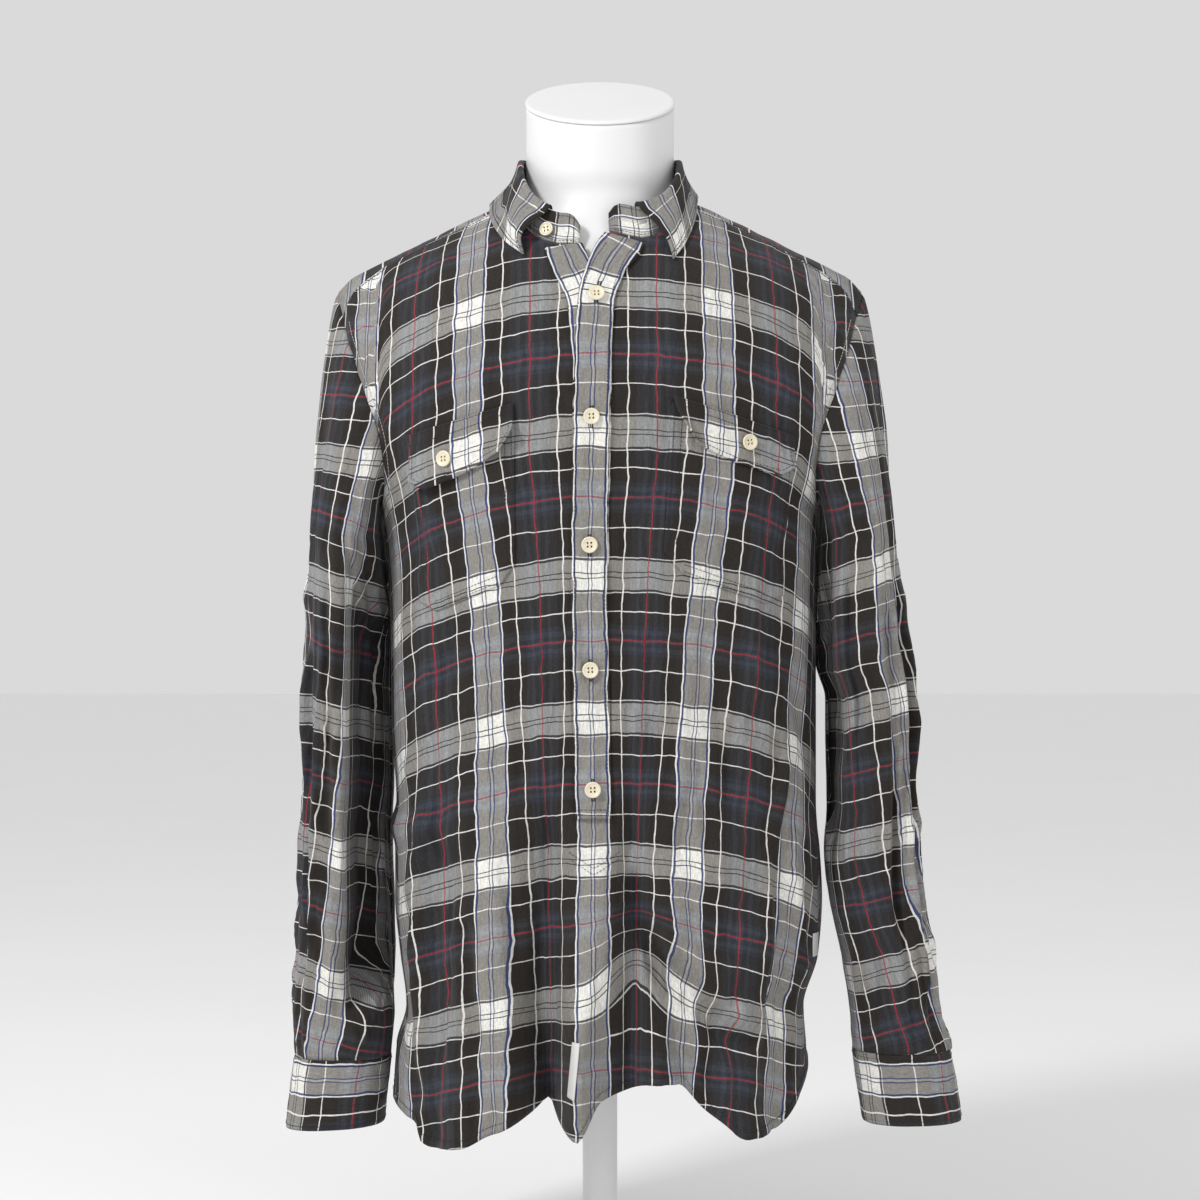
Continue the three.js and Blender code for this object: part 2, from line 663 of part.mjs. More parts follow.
// Armhole loop from the underarm up the front, over the shoulder and down the back, on one side
function armholeLoop(sign) {
  const edge = (grid) =>
    grid.slice(LOWER_ROWS).map((row) => {
      const p = sign < 0 ? row[0] : row[row.length - 1];
      return { at: p.at.clone(), normal: p.normal, inside: row[Math.floor(row.length / 2)].at };
    });
  const front = edge(FRONT_GRID);
  const back = edge(BACK_GRID).reverse();
  const outerRow = YOKE_GRID[YOKE_ACROSS];
  const last = outerRow.length - 1;
  const yoke = count(YOKE_SIDE + 1).map((i) => {
    const c = sign < 0 ? i : last - i;
    return { at: outerRow[c].at.clone(), normal: outerRow[c].normal, inside: YOKE_GRID[0][c].at };
  });
  // the front and the back meet under the arm, and the yoke meets each at its corners
  const loop = [front[0], ...front.slice(1, -1), ...yoke, ...back.slice(1, -1)];
  return loop.map((p, i) => {
    if (i === 0) return { ...p, out: new THREE.Vector3(0, 0, 1) };
    const [before, after] = [loop[i - 1].at, loop[(i + 1) % loop.length].at];
    return { ...p, out: wayOut(p, before, after, p.inside) };
  });
}

// Ring of a sleeve or cuff at one height of its table, at a share of the way round that starts
// at the body side and runs over the front
const TUBE_SQUARENESS = 2.3;
function tubePoint(table, sign, z, share) {
  const inner = read(table, "z", "inner", z);
  const outer = read(table, "z", "outer", z);
  const angle = 2 * Math.PI * share;
  const bend = (v) => Math.sign(v) * Math.abs(v) ** (2 / TUBE_SQUARENESS);
  const x = (inner + outer) / 2 - bend(Math.cos(angle)) * ((outer - inner) / 2);
  const y = read(table, "z", "y", z) - bend(Math.sin(angle)) * read(table, "z", "depth", z);
  return new THREE.Vector3(sign * x, y, z);
}

// Soft creases of a hanging sleeve: they stay off the side next to the body
function sleeveCrease(share, z) {
  const free = Math.sin(Math.PI * share) ** 0.7;
  const turn = 2 * Math.PI * share;
  const wave = 2.6 * Math.sin(3 * turn + z / 62) + 1.6 * Math.sin(5 * turn - z / 41);
  return wave * free * clamp((590 - z) / 60, 0, 1) * clamp((z - 176) / 40, 0, 1);
}

const SLEEVE_CAP_RINGS = [0.07, 0.2, 0.4, 0.62, 0.82];
const SLEEVE_RINGS = 10;
function sleeveGrid(sign, table) {
  const loop = armholeLoop(sign);
  const columns = loop.length;
  const topZ = table[0].z;
  const endZ = table[table.length - 1].z;
  // share of the way round by the loop's own length
  const lengths = [0];
  loop.forEach((p, i) => {
    const next = loop[(i + 1) % columns];
    lengths.push(lengths[i] + p.at.distanceTo(next.at));
  });
  const share = loop.map((_, i) => lerp(lengths[i] / lengths[columns], i / columns, 0.5));
  const first = loop.map((p) => ({
    at: p.at.clone().addScaledVector(p.out, SEAM),
    normal: p.normal,
  }));
  const rings = [first.map((p) => p.at)];
  for (const w of SLEEVE_CAP_RINGS) {
    rings.push(
      loop.map((p, i) => {
        const goal = tubePoint(table, sign, topZ, share[i]);
        const at = p.at.clone().lerp(goal, w);
        const top = Math.max(0, -Math.cos(2 * Math.PI * share[i]));
        const under = Math.max(0, Math.cos(2 * Math.PI * share[i])) ** 2;
        const hump = Math.sin(Math.PI * w ** 0.55);
        const broad = Math.sin(2 * Math.PI * share[i]);
        at.y -= 9 * broad * Math.sin(Math.PI * w);
        at.x += sign * 5 * top * hump;
        at.z += 4 * top * hump + 11 * under * Math.sin(Math.PI * w ** 0.6) * (1 - w);
        at.x += sign * 2.5 * under * Math.sin(Math.PI * w ** 0.7);
        return at;
      }),
    );
  }
  for (const r of count(SLEEVE_RINGS + 1)) {
    const z = lerp(topZ, endZ, r / SLEEVE_RINGS);
    rings.push(
      share.map((s) => {
        const p = tubePoint(table, sign, z, s);
        const middle = tubePoint(table, sign, z, 0).lerp(tubePoint(table, sign, z, 0.5), 0.5);
        const way = p.clone().sub(middle);
        return p.addScaledVector(way.normalize(), sleeveCrease(s, z));
      }),
    );
  }
  return withNormals(rings, first.map((p) => p.normal));
}

// Normals of a ring grid from its neighbours; the first ring can have its own.
function withNormals(rings, firstNormals = null) {
  const columns = rings[0].length;
  const grid = rings.map((ring, r) =>
    ring.map((at, c) => {
      const up = rings[Math.max(0, r - 1)][c];
      const down = rings[Math.min(rings.length - 1, r + 1)][c];
      const left = ring[(c + columns - 1) % columns];
      const right = ring[(c + 1) % columns];
      const normal = right.clone().sub(left).cross(down.clone().sub(up)).normalize();
      return { at, normal };
    }),
  );
  // one sign for the whole grid, taken far from the first ring
  const test = grid[rings.length - 1][0];
  const middle = rings[rings.length - 1]
    .reduce((sum, p) => sum.add(p), new THREE.Vector3())
    .multiplyScalar(1 / columns);
  if (test.normal.dot(test.at.clone().sub(middle)) < 0)
    grid.forEach((row) => row.forEach((p) => p.normal.negate()));
  if (firstNormals) grid[0].forEach((p, c) => (p.normal = firstNormals[c]));
  return grid;
}
const tube = (grid, thick) => wall(offset(grid, 0), offset(grid, -thick), true);

const CUFF_COLUMNS = 20;
function cuffGrid(sign, table) {
  const [top, bottom] = [table[0].z, table[table.length - 1].z];
  const rings = count(4).map((r) =>
    count(CUFF_COLUMNS).map((c) =>
      tubePoint(table, sign, lerp(top, bottom, r / 3), c / CUFF_COLUMNS),
    ),
  );
  return withNormals(rings);
}

// A patch that lies on the front: a grid of x and z, moved out from the panel
const onFront = (x, z, out) => {
  const p = bodyPoint("front", x, z);
  return { at: p.at.addScaledVector(p.normal, out), normal: p.normal };
};
function strip(table, out) {
  const rows = 22;
  const [low, high] = [table[0].z, table[table.length - 1].z];
  return count(rows + 1).map((r) => {
    const z = lerp(low, high, r / rows);
    const x = read(table, "z", "x", z);
    const lean = (read(table, "z", "x", z + 1) - read(table, "z", "x", z - 1)) / 2;
    return [-1, 0, 1].map((side) =>
      onFront(x + side * PLACKET_HALF, z - side * PLACKET_HALF * lean * 0.8, out),
    );
  });
}
function patch(shape, rows, columns, out) {
  const point = shape.point ?? 0;
  return count(rows + 1).map((r) =>
    count(columns + 1).map((c) => {
      const [u, v] = [c / columns, r / rows];
      const mix = (k) =>
        lerp(
          lerp(shape.bottomLeft[k], shape.bottomRight[k], u),
          lerp(shape.topLeft[k], shape.topRight[k], u),
          v,
        );
      const dip = point * (1 - Math.abs(2 * u - 1)) * (1 - v);
      return onFront(mix(0), mix(1) - dip, out);
    }),
  );
}

// Collar stand: from the neckline up, open at the front
const STAND_BOTTOM = [
  ...FRONT_TOP.slice(SEAM_COLUMNS, SEAM_COLUMNS + NECK_COLUMNS + 1).reverse(),
  ...YOKE_GRID[0].slice(1, -1).map((p) => p.at),
  ...FRONT_TOP.slice(-SEAM_COLUMNS - NECK_COLUMNS - 1, -SEAM_COLUMNS).reverse(),
];
const awayFromNeck = (p) => new THREE.Vector3(p.x, p.y - FORM.neckY, 0).normalize();
function standGrid() {
  const columns = STAND_BOTTOM.length - 1;
  return count(4).map((r) =>
    STAND_BOTTOM.map((p, i) => {
      const t = r / 3;
      const back = (1 - Math.cos((2 * Math.PI * i) / columns)) / 2;
      const height =
        back < 0.5
          ? lerp(STAND_HEIGHT.front, STAND_HEIGHT.side, ease(back * 2))
          : lerp(STAND_HEIGHT.side, STAND_HEIGHT.back, ease(back * 2 - 1));
      const way = awayFromNeck(p);
      const at = p.clone().addScaledVector(way, -0.2 - lerp(6, 3.2, back) * t);
      at.z += 0.35 + (height - 0.35) * t;
      return { at, normal: way };
    }),
  );
}
const STAND_GRID = standGrid();

// Collar leaf: sewn to the stand's top edge, it rolls over and hangs outside
// Moves a point out until it clears the body by a wanted distance.
function clearOfBody(point, least) {
  const p = point.clone();
  for (const _ of count(6)) {
    const side = p.y < 0 ? "front" : "back";
    const inPlan = Math.abs(p.y) < depthAt(side, p.x, CHEST_Z) - 1;
    const near = inPlan ? shoulderPoint(p.x, p.y) : bodyPoint(side, p.x, p.z);
    const gap = p.clone().sub(near.at).dot(near.normal);
    if (gap < least) p.addScaledVector(near.normal, least - gap);
  }
  return p;
}
// The roll, seen in section from the stand's top: the face that shows and the hidden one
const LEAF_ROLL = [
  { outShown: -1.8, upShown: 0.35, outHidden: 0, upHidden: 0.35 },
  { outShown: -1.6, upShown: 2.6, outHidden: 0.2, upHidden: 1.6 },
  { outShown: 0.7, upShown: 4.1, outHidden: 0.9, upHidden: 2.3 },
  { outShown: 3.1, upShown: 2.4, outHidden: 1.5, upHidden: 1.4 },
];
const LEAF_HANG = [
  { down: 0.06, out: 3.4 },
  { down: 0.3, out: 3 },
  { down: 0.62, out: 1.8 },
  { down: 1, out: 0 },
];
function leafFaces() {
  const top = STAND_GRID[3].map((p) => p.at);
  const from = top.findIndex((p) => p.x < LEAF_FROM_X);
  const to = top.length - [...top].reverse().findIndex((p) => p.x > LEAF_TO_X);
  const used = top.slice(from, to);
  const roll = (row, kind) =>
    used.map((p) => {
      const at = p.clone().addScaledVector(awayFromNeck(p), row["out" + kind]);
      at.z += row["up" + kind];
      return at;
    });
  const hang = LEAF_HANG.map((row) =>
    used.map((p, i) => {
      const share = i / (used.length - 1);
      const edge = new THREE.Vector3(
        read(COLLAR, "share", "edgeX", share),
        read(COLLAR, "share", "edgeY", share),
        read(COLLAR, "share", "edgeZ", share),
      );
      const at = p.clone().lerp(edge, row.down).addScaledVector(awayFromNeck(p), row.out);
      return clearOfBody(at, COLLAR_CLOTH + 1.2);
    }),
  );
  const above = roll(LEAF_ROLL[LEAF_ROLL.length - 1], "Shown");
  const hidden = hang.map((row, r) =>
    row.map((at, c) => {
      const up = (r === 0 ? above : hang[r - 1])[c];
      const down = hang[Math.min(hang.length - 1, r + 1)][c];
      const before = row[Math.max(0, c - 1)];
      const after = row[Math.min(row.length - 1, c + 1)];
      const normal = after.clone().sub(before).cross(up.clone().sub(down)).normalize();
      if (normal.dot(awayFromNeck(at)) < 0) normal.negate();
      return at.clone().addScaledVector(normal, -COLLAR_CLOTH);
    }),
  );
  return {
    shown: [...LEAF_ROLL.map((row) => roll(row, "Shown")), ...hang],
    hidden: [...LEAF_ROLL.map((row) => roll(row, "Hidden")), ...hidden],
  };
}

// Dress form: rings by angle round the neck's axis
const FORM_SIDES = 36;
const FORM_LEVELS = [
  190, 215, 260, 320, 390, 460, 530, 590, 630, 660, 690, 715, 740, 760, 776, 790, 802, 814, 825,
  835, 845, 853, 862, 880, 900,
];
const FORM_BODY = [
  { z: 190, half: 138, front: 94, back: 84 },
  { z: 260, half: 142, front: 98, back: 87 },
  { z: 390, half: 140, front: 100, back: 85 },
  { z: 460, half: 143, front: 105, back: 86 },
  { z: 560, half: 157, front: 116, back: 92 },
  { z: 610, half: 165, front: 120, back: 98 },
  { z: 660, half: 180, front: 120, back: 101 },
  { z: 720, half: 204, front: 119.4, back: 102.5 },
  { z: 900, half: 216, front: 119.4, back: 102.5 },
];
function insideForm(x, y, z) {
  const side = y < 0 ? "front" : "back";
  const part = Math.abs(x) / read(FORM_BODY, "z", "half", z);
  if (part >= 1 || Math.abs(x) > FORM.endX) return false;
  const top = ridgeZ(x) - FORM_EASE / 0.9;
  if (z >= top) return false;
  const blend = ease(clamp((z - UNDERARM_Z) / (CHEST_Z - UNDERARM_Z), 0, 1));
  const round = lerp(2.3, 2.2, blend);
  const full = read(FORM_BODY, "z", side, z) * (1 - part ** round) ** lerp(0.45, 0.66, blend);
  const exponent = side === "front" ? FRONT_FULLNESS : BACK_FULLNESS;
  const rise = clamp((z - CHEST_Z) / (top - CHEST_Z), 0, 1);
  return Math.abs(y) < full * (1 - rise ** exponent) ** (1 / exponent);
}
function formRadius(angle, z) {
  const way = [Math.sin(angle), -Math.cos(angle)];
  let [low, high] = [0, 260];
  for (const _ of count(30)) {
    const r = (low + high) / 2;
    if (insideForm(way[0] * r, FORM.neckY + way[1] * r, z)) low = r;
    else high = r;
  }
  const neck = z > 780 ? FORM.neckRadius : 0;
  const front = Math.max(0, Math.cos(angle)) ** 2;
  const soft = 1 + 15 * front;
  return z > 780 ? (low + neck + Math.hypot(low - neck, soft) - soft * 0.55) / 2 : low;
}
function formGeometry() {
  const ring = (level) =>
    count(FORM_SIDES).map((i) => {
      const angle = (2 * Math.PI * i) / FORM_SIDES;
      const r = level === null ? FORM.neckRadius : formRadius(angle, level);
      const [x, y] = [r * Math.sin(angle), FORM.neckY - r * Math.cos(angle)];
      const z = level === null ? FORM.topZ + FORM.topSlope * (y - FORM.neckY) - CAP_THICK : level;
      return new THREE.Vector3(x, y, z);
    });
  return stack([...FORM_LEVELS.map(ring), ring(null)]);
}

// Slanted cap that closes the neck, with a soft rim
function capGeometry() {
  const profile = [
    { r: FORM.neckRadius - 0.5, up: 0.3 - CAP_THICK },
    { r: FORM.neckRadius + 0.8, up: 1.2 - CAP_THICK },
    { r: FORM.neckRadius + 0.8, up: -1.2 },
    { r: FORM.neckRadius - 1, up: 0 },
    { r: FORM.neckRadius - 5, up: 0 },
  ];
  return stack(
    profile.map((row) =>
      count(FORM_SIDES).map((i) => {
        const angle = (2 * Math.PI * i) / FORM_SIDES;
        const [x, y] = [row.r * Math.sin(angle), -row.r * Math.cos(angle)];
        return new THREE.Vector3(x, y + FORM.neckY, FORM.topZ + FORM.topSlope * y + row.up);
      }),
    ),
  );
}

// A round piece about an upright axis, from its profile of radius and height.
function turned(profile, sides) {
  const points = profile.map(([r, z]) => new THREE.Vector2(r, z));
  return new THREE.LatheGeometry(points, sides).rotateX(Math.PI / 2);
}

// Button: a dished disc on a surface point
function buttonMesh(name, place, radius) {
  const t = BUTTON.thick;
  const profile = [
    [0, 0],
    [radius * 0.8, 0],
    [radius, t * 0.4],
    [radius, t * 0.75],
    [radius * 0.86, t],
    [radius * 0.66, t * 0.7],
    [0, t * 0.62],
  ];
  const geometry = turned(profile, BUTTON.sides);
  const turn = new THREE.Quaternion().setFromUnitVectors(new THREE.Vector3(0, 0, 1), place.normal);
  geometry.applyQuaternion(turn).translate(place.at.x, place.at.y, place.at.z);
  return mesh(name, geometry, CREAM);
}

function mesh(name, geometry, look) {
  const made = new THREE.Mesh(geometry, new THREE.MeshStandardMaterial(look));
  made.name = name;
  return made;
}

const shirt = new THREE.Group();
const layer = (n) => (CLOTH + PATCH_GAP) * n; // outer face of the nth layer on the front

// Body of the shirt
shirt.add(mesh("front", panel(trimmed(FRONT_GRID), CLOTH), FLANNEL));
shirt.add(mesh("back", panel(trimmed(BACK_GRID), CLOTH), FLANNEL));
shirt.add(mesh("yoke", panel(trimmed(YOKE_GRID), CLOTH), FLANNEL));

// Sleeves and cuffs, with the strip over each cuff's opening at the back
const ARMS = [
  { side: "left", sign: -1, sleeve: SLEEVE_LEFT, cuff: CUFF_LEFT },
  { side: "right", sign: 1, sleeve: SLEEVE_RIGHT, cuff: CUFF_RIGHT },
];
for (const arm of ARMS) {
  const sleeve = sleeveGrid(arm.sign, arm.sleeve);
  const cuff = cuffGrid(arm.sign, arm.cuff);
  shirt.add(mesh("sleeve_" + arm.side, tube(sleeve, CLOTH), FLANNEL));
  shirt.add(mesh("cuff_" + arm.side, tube(cuff, CLOTH), FLANNEL));
  const first = Math.round(sleeve[0].length * SLEEVE_PLACKET.share);
  const lap = sleeve.slice(-SLEEVE_PLACKET.rings - 1, -1).map((row) => row.slice(first, first + 2));
  const lapWall = wall(offset(lap, PATCH_GAP + CLOTH), offset(lap, PATCH_GAP));
  shirt.add(mesh("sleeve_placket_" + arm.side, lapWall, FLANNEL));
  const c = Math.round(CUFF_COLUMNS * SLEEVE_PLACKET.share);
  const at = cuff[1][c].at.clone().addScaledVector(cuff[1][c].normal, PATCH_GAP);
  shirt.add(buttonMesh("button_cuff_" + arm.side, { at, normal: cuff[1][c].normal }, BUTTON.collarRadius));
}

// Half placket, under strip first
shirt.add(mesh("placket_under", panel(strip(PLACKET_UNDER, layer(1)), CLOTH), FLANNEL));
shirt.add(mesh("placket_top", panel(strip(PLACKET_TOP, layer(2)), CLOTH), FLANNEL));

// Pockets and their flaps
for (const side of ["left", "right"]) {
  const shape = POCKETS[side];
  shirt.add(mesh("pocket_" + side, panel(patch(shape.bag, 8, 8, layer(1)), CLOTH), FLANNEL));
  shirt.add(mesh("flap_" + side, panel(patch(shape.flap, 3, 6, layer(2)), CLOTH), FLANNEL));
  const [x, z] = POCKET_BUTTONS[side];
  const place = onFront(x, z, layer(2) + PATCH_GAP);
  shirt.add(buttonMesh("button_pocket_" + side, place, BUTTON.radius));
}

// Tapes
for (const side of ["hem", "side"]) {
  const grid = patch(TAPES[side], 3, 2, PATCH_GAP + TAPE_THICK);
  shirt.add(mesh("label_" + side, panel(grid, TAPE_THICK), TAPE));
}

// Collar
const standInner = offset(STAND_GRID, -COLLAR_CLOTH);
shirt.add(mesh("collar_stand", wall(offset(STAND_GRID, 0), standInner), FLANNEL));
const leaf = leafFaces();
shirt.add(mesh("collar_fall", wall(leaf.shown, leaf.hidden), FLANNEL));

// Buttons of the placket and the collar
const [tabRow, tabColumn] = [1, 2];
const tab = (r, c) => STAND_GRID[tabRow + r][tabColumn + c].at;
const tabNormal = tab(0, 1).clone().sub(tab(0, -1)).cross(tab(1, 0).clone().sub(tab(-1, 0)));
tabNormal.normalize().multiplyScalar(tabNormal.dot(awayFromNeck(tab(0, 0))) < 0 ? -1 : 1);
const collarButton = {
  at: tab(0, 0).clone().addScaledVector(tabNormal, PATCH_GAP),
  normal: tabNormal,
};
shirt.add(buttonMesh("button_collar", collarButton, BUTTON.collarRadius));
PLACKET_BUTTONS.forEach((z, i) => {
  const place = onFront(read(PLACKET_TOP, "z", "x", z), z, layer(2) + PATCH_GAP);
  shirt.add(buttonMesh("button_placket_" + (i + 1), place, BUTTON.radius));
});

// Dress form and stand
shirt.add(mesh("form_torso", formGeometry(), WHITE));
shirt.add(mesh("form_cap", capGeometry(), WHITE));
const poleTop = FORM.bottomZ - 0.3;
const pole = [
  [0, BASE.thick + 0.3],
  [POLE_RADIUS, BASE.thick + 0.3],
  [POLE_RADIUS, poleTop],
  [0, poleTop],
];
shirt.add(mesh("stand_pole", turned(pole, 24), STEEL));
const base = [
  [0, 0],
  [BASE.radius, 0],
  [BASE.radius, BASE.thick * 0.5],
  [BASE.radius - 4, BASE.thick * 0.85],
  [BASE.radius - 12, BASE.thick],
  [0, BASE.thick],
];
shirt.add(mesh("stand_base", turned(base, 48), STEEL));

export default shirt;
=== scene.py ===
# %% [markdown]
# # A plaid flannel shirt on a white dress form
# The shirt is cut from flat cloth and sewn, so this file makes it piece by piece as a tailor would:
# body panels, yoke, sleeves, cuffs, collar, placket and pockets, then thread and buttons.
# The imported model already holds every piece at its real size. Each soft piece here is a thin sheet
# on the same form, with finer folds, and it stands in for its plain solid.

# %% Load the fixed frame
import math
from collections import namedtuple

import bmesh
import bpy
import numpy as np
from mathutils import Matrix, Vector


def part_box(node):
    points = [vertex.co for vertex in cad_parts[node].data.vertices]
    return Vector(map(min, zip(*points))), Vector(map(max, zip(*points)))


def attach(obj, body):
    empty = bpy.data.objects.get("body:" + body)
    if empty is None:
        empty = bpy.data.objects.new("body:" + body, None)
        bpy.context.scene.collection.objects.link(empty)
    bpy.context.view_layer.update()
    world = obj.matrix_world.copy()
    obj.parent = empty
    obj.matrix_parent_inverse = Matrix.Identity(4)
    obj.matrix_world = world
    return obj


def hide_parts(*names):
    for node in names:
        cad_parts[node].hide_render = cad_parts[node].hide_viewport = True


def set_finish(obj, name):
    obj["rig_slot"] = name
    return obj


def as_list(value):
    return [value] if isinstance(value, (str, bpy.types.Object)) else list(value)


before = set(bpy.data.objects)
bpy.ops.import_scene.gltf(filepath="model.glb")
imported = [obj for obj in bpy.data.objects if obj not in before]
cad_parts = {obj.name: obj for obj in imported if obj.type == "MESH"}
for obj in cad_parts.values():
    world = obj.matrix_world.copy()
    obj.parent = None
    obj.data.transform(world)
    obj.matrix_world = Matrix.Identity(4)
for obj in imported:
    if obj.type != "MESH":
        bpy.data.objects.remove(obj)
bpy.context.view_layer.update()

print("packed nodes:", len(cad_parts))

# %% [markdown]
# ## Small helpers
# All sizes below are millimetres, as on a pattern sheet, and a mesh gets metres only when it is
# filled. `read` looks a value up in a short table and is smooth between its rows, so a table needs
# only the rows where the shape changes.

# %% Numbers and tables
MM = 0.001
QUARTER = math.pi / 2  # a quarter turn
TURN = 2 * math.pi


def lerp(a, b, t):
    return a + (b - a) * t


def ease(t):
    t = np.clip(t, 0, 1)
    return t * t * (3 - 2 * t)


def read(table, column, at, key="z"):
    """A column of a table at a place, smooth between the rows and never past them."""
    keys, values = np.asarray(table[key], float), np.asarray(table[column], float)
    if keys[0] > keys[-1]:
        keys, values = keys[::-1], values[::-1]
    steps = np.diff(values) / np.diff(keys)
    slopes = np.zeros_like(values)
    slopes[0], slopes[-1] = steps[0], steps[-1]
    both = steps[:-1] * steps[1:]
    total = np.where(both > 0, steps[:-1] + steps[1:], 1)
    slopes[1:-1] = np.where(both > 0, 2 * both / total, 0)
    at = np.clip(at, keys[0], keys[-1])
    k = np.clip(np.searchsorted(keys, at) - 1, 0, len(keys) - 2)
    span = keys[k + 1] - keys[k]
    t = (at - keys[k]) / span
    from_before = (2 * t**3 - 3 * t**2 + 1) * values[k] + (t**3 - 2 * t**2 + t) * slopes[k] * span
    from_after = (3 * t**2 - 2 * t**3) * values[k + 1] + (t**3 - t**2) * slopes[k + 1] * span
    return from_before + from_after


def unit(v):
    return v / np.maximum(np.linalg.norm(v, axis=-1, keepdims=True), 1e-12)


def run_of(points):
    """Length along a line of points, up to each of them."""
    return np.r_[0, np.cumsum(np.linalg.norm(np.diff(points, axis=0), axis=1))]


# %% [markdown]
# ## Rumples
# Brushed cotton that has been washed and not ironed is never smooth. `rumple` is a seeded
# two-way noise: the same seed gives the same cloth on every run. Stretched along the grain it
# reads as the long soft wrinkles that hanging cloth has. `crease` draws one fold.

# %% Seeded noise and drawn creases
def rumple(x, y, seed):
    """Smooth noise from about -1 to 1, with one bump for each unit of x and y."""
    rng = np.random.default_rng(seed)
    order = rng.permutation(256)
    turn = rng.uniform(0, TURN, 256)
    x0, y0 = np.floor(x).astype(int), np.floor(y).astype(int)
    fx, fy = x - x0, y - y0

    def corner(dx, dy):
        spot = turn[order[(order[(x0 + dx) & 255] + y0 + dy) & 255]]
        return np.cos(spot) * (fx - dx) + np.sin(spot) * (fy - dy)

    wx, wy = ease(fx), ease(fy)
    low = lerp(corner(0, 0), corner(1, 0), wx)
    high = lerp(corner(0, 1), corner(1, 1), wx)
    return 1.5 * lerp(low, high, wy)


Crease = namedtuple("Crease", "from_x from_z to_x to_z width out")


def creases(rows, x, z):
    """Sum of drawn folds. Each runs between two points and fades at both ends."""
    total = np.zeros_like(x)
    for c in (Crease(*row) for row in rows):
        way = np.array([c.to_x - c.from_x, c.to_z - c.from_z], float)
        long = np.hypot(*way)
        along = ((x - c.from_x) * way[0] + (z - c.from_z) * way[1]) / long**2
        aside = ((x - c.from_x) * way[1] - (z - c.from_z) * way[0]) / long
        bend = 0.12 * long * np.sin(math.pi * np.clip(along, 0, 1)) * math.sin(c.from_x)
        fade = ease(along / 0.25 + 0.15) * ease((1 - along) / 0.25 + 0.15)
        total += c.out * fade * np.exp(-(((aside - bend * 0.4) / c.width) ** 2))
    return total


print("noise spread:", np.round(rumple(np.linspace(0, 9, 99), np.linspace(0, 5, 99), 1).std(), 2))

# %% [markdown]
# ## The body's form
# On the form the shirt's body is a smooth tube that closes over the shoulders. One function gives
# how far the cloth stands in front of, or behind, the middle plane at any place. All the panels
# read it, so their seams meet, and the pockets and plackets lie on the same surface.

# %% Surface of the body
UNDERARM_Z = 610
CHEST_Z = 680
NECK_SIDE = {"x": 68, "z": 863.5}
SHOULDER_SLOPE = 0.485
TIP_X = 211
FULLNESS = {"front": 2, "back": 3.2}
BODY = {
    "z": [100, 150, 182, 213, 256, 300, 340, 358, 378, 440, 540, 610, 645, 680, 900],
    "left": [-166, -166, -164, -156, -161, -165, -165, -169, -164, -168, -169, -176, -196, -218, -218],
    "right": [168, 168, 166, 164, 176, 179, 177, 175, 174, 174, 174, 176, 196, 218, 218],
    "front": [127, 125, 123, 122, 120, 119, 118, 118, 118, 118, 121, 124, 125, 125, 125],
    "back": [112, 110, 108, 107, 105, 103, 102, 101, 100, 98, 99, 103, 106, 108, 108],
}
FRONT_HEM = {
    "x": [-166, -152, -144, -140, -134, -103, -86, -65, -53, -43, -35, -17, 1, 17, 40, 62, 80, 94, 108, 140,
          152, 168],
    "z": [142, 134, 130, 117, 113, 117, 127, 137, 147, 156, 141, 127, 156, 162, 168, 168, 150, 137, 124, 127,
          142, 168],
}
BACK_HEM = {
    "x": [-166, -140, -100, -40, 40, 100, 145, 168],
    "z": [148, 150, 142, 139, 139, 144, 158, 168],
}
ARMHOLE = {
    "z": [610, 628, 660, 700, 744, 785],
    "front": [176, 170, 172, 184, 199, 211],
    "back": [176, 176, 180, 189, 200, 211],
}
SLOPE_STEP = 0.05  # step that a surface's slope is measured over
INSIDE_EDGE = 0.9985  # slopes are measured this far out, because the section turns straight back at its edge
LAST = 0.9999  # shares past this are a grid's last row or column


def ridge_z(x):
    out = np.abs(x) - NECK_SIDE["x"]
    soft = (out + np.hypot(out, 12)) / 2
    tip = np.maximum(0, np.abs(x) - 196)
    return NECK_SIDE["z"] + 2 - SHOULDER_SLOPE * soft - 0.03 * tip**2


def section(z):
    """Middle and half width of the body at a height."""
    low, high = read(BODY, "left", z), read(BODY, "right", z)
    return (low + high) / 2, (high - low) / 2


def depth(side, x, z):
    middle, half = section(z)
    part = np.clip(np.abs(x - middle) / half, 0, 1)
    blend = ease((z - UNDERARM_Z) / (CHEST_Z - UNDERARM_Z))
    full = read(BODY, side, z) * (1 - part ** lerp(2.4, 2.2, blend)) ** lerp(0.43, 0.66, blend)
    e = FULLNESS[side]
    rise = np.clip((z - CHEST_Z) / (ridge_z(x) - CHEST_Z), 0, 1)
    return full * (1 - rise**e) ** (1 / e)


def shoulder_z(x, y):
    """The same surface over the shoulders, as a height above x and y."""
    front = y < 0
    e = np.where(front, FULLNESS["front"], FULLNESS["back"])
    full = np.where(front, depth("front", x, CHEST_Z + 0 * x), depth("back", x, CHEST_Z + 0 * x))
    part = np.clip(np.abs(y) / full, 0, 1)
    return CHEST_Z + (ridge_z(x) - CHEST_Z) * (1 - part**e) ** (1 / e)


def shoulder_place(x, y):
    """Points and outward normals over the shoulders."""
    h = SLOPE_STEP
    slope_x = (shoulder_z(x + h, y) - shoulder_z(x - h, y)) / (2 * h)
    slope_y = (shoulder_z(x, y + h) - shoulder_z(x, y - h)) / (2 * h)
    return np.stack([x, y, shoulder_z(x, y)], -1), unit(np.stack([-slope_x, -slope_y, 1 + 0 * x], -1))


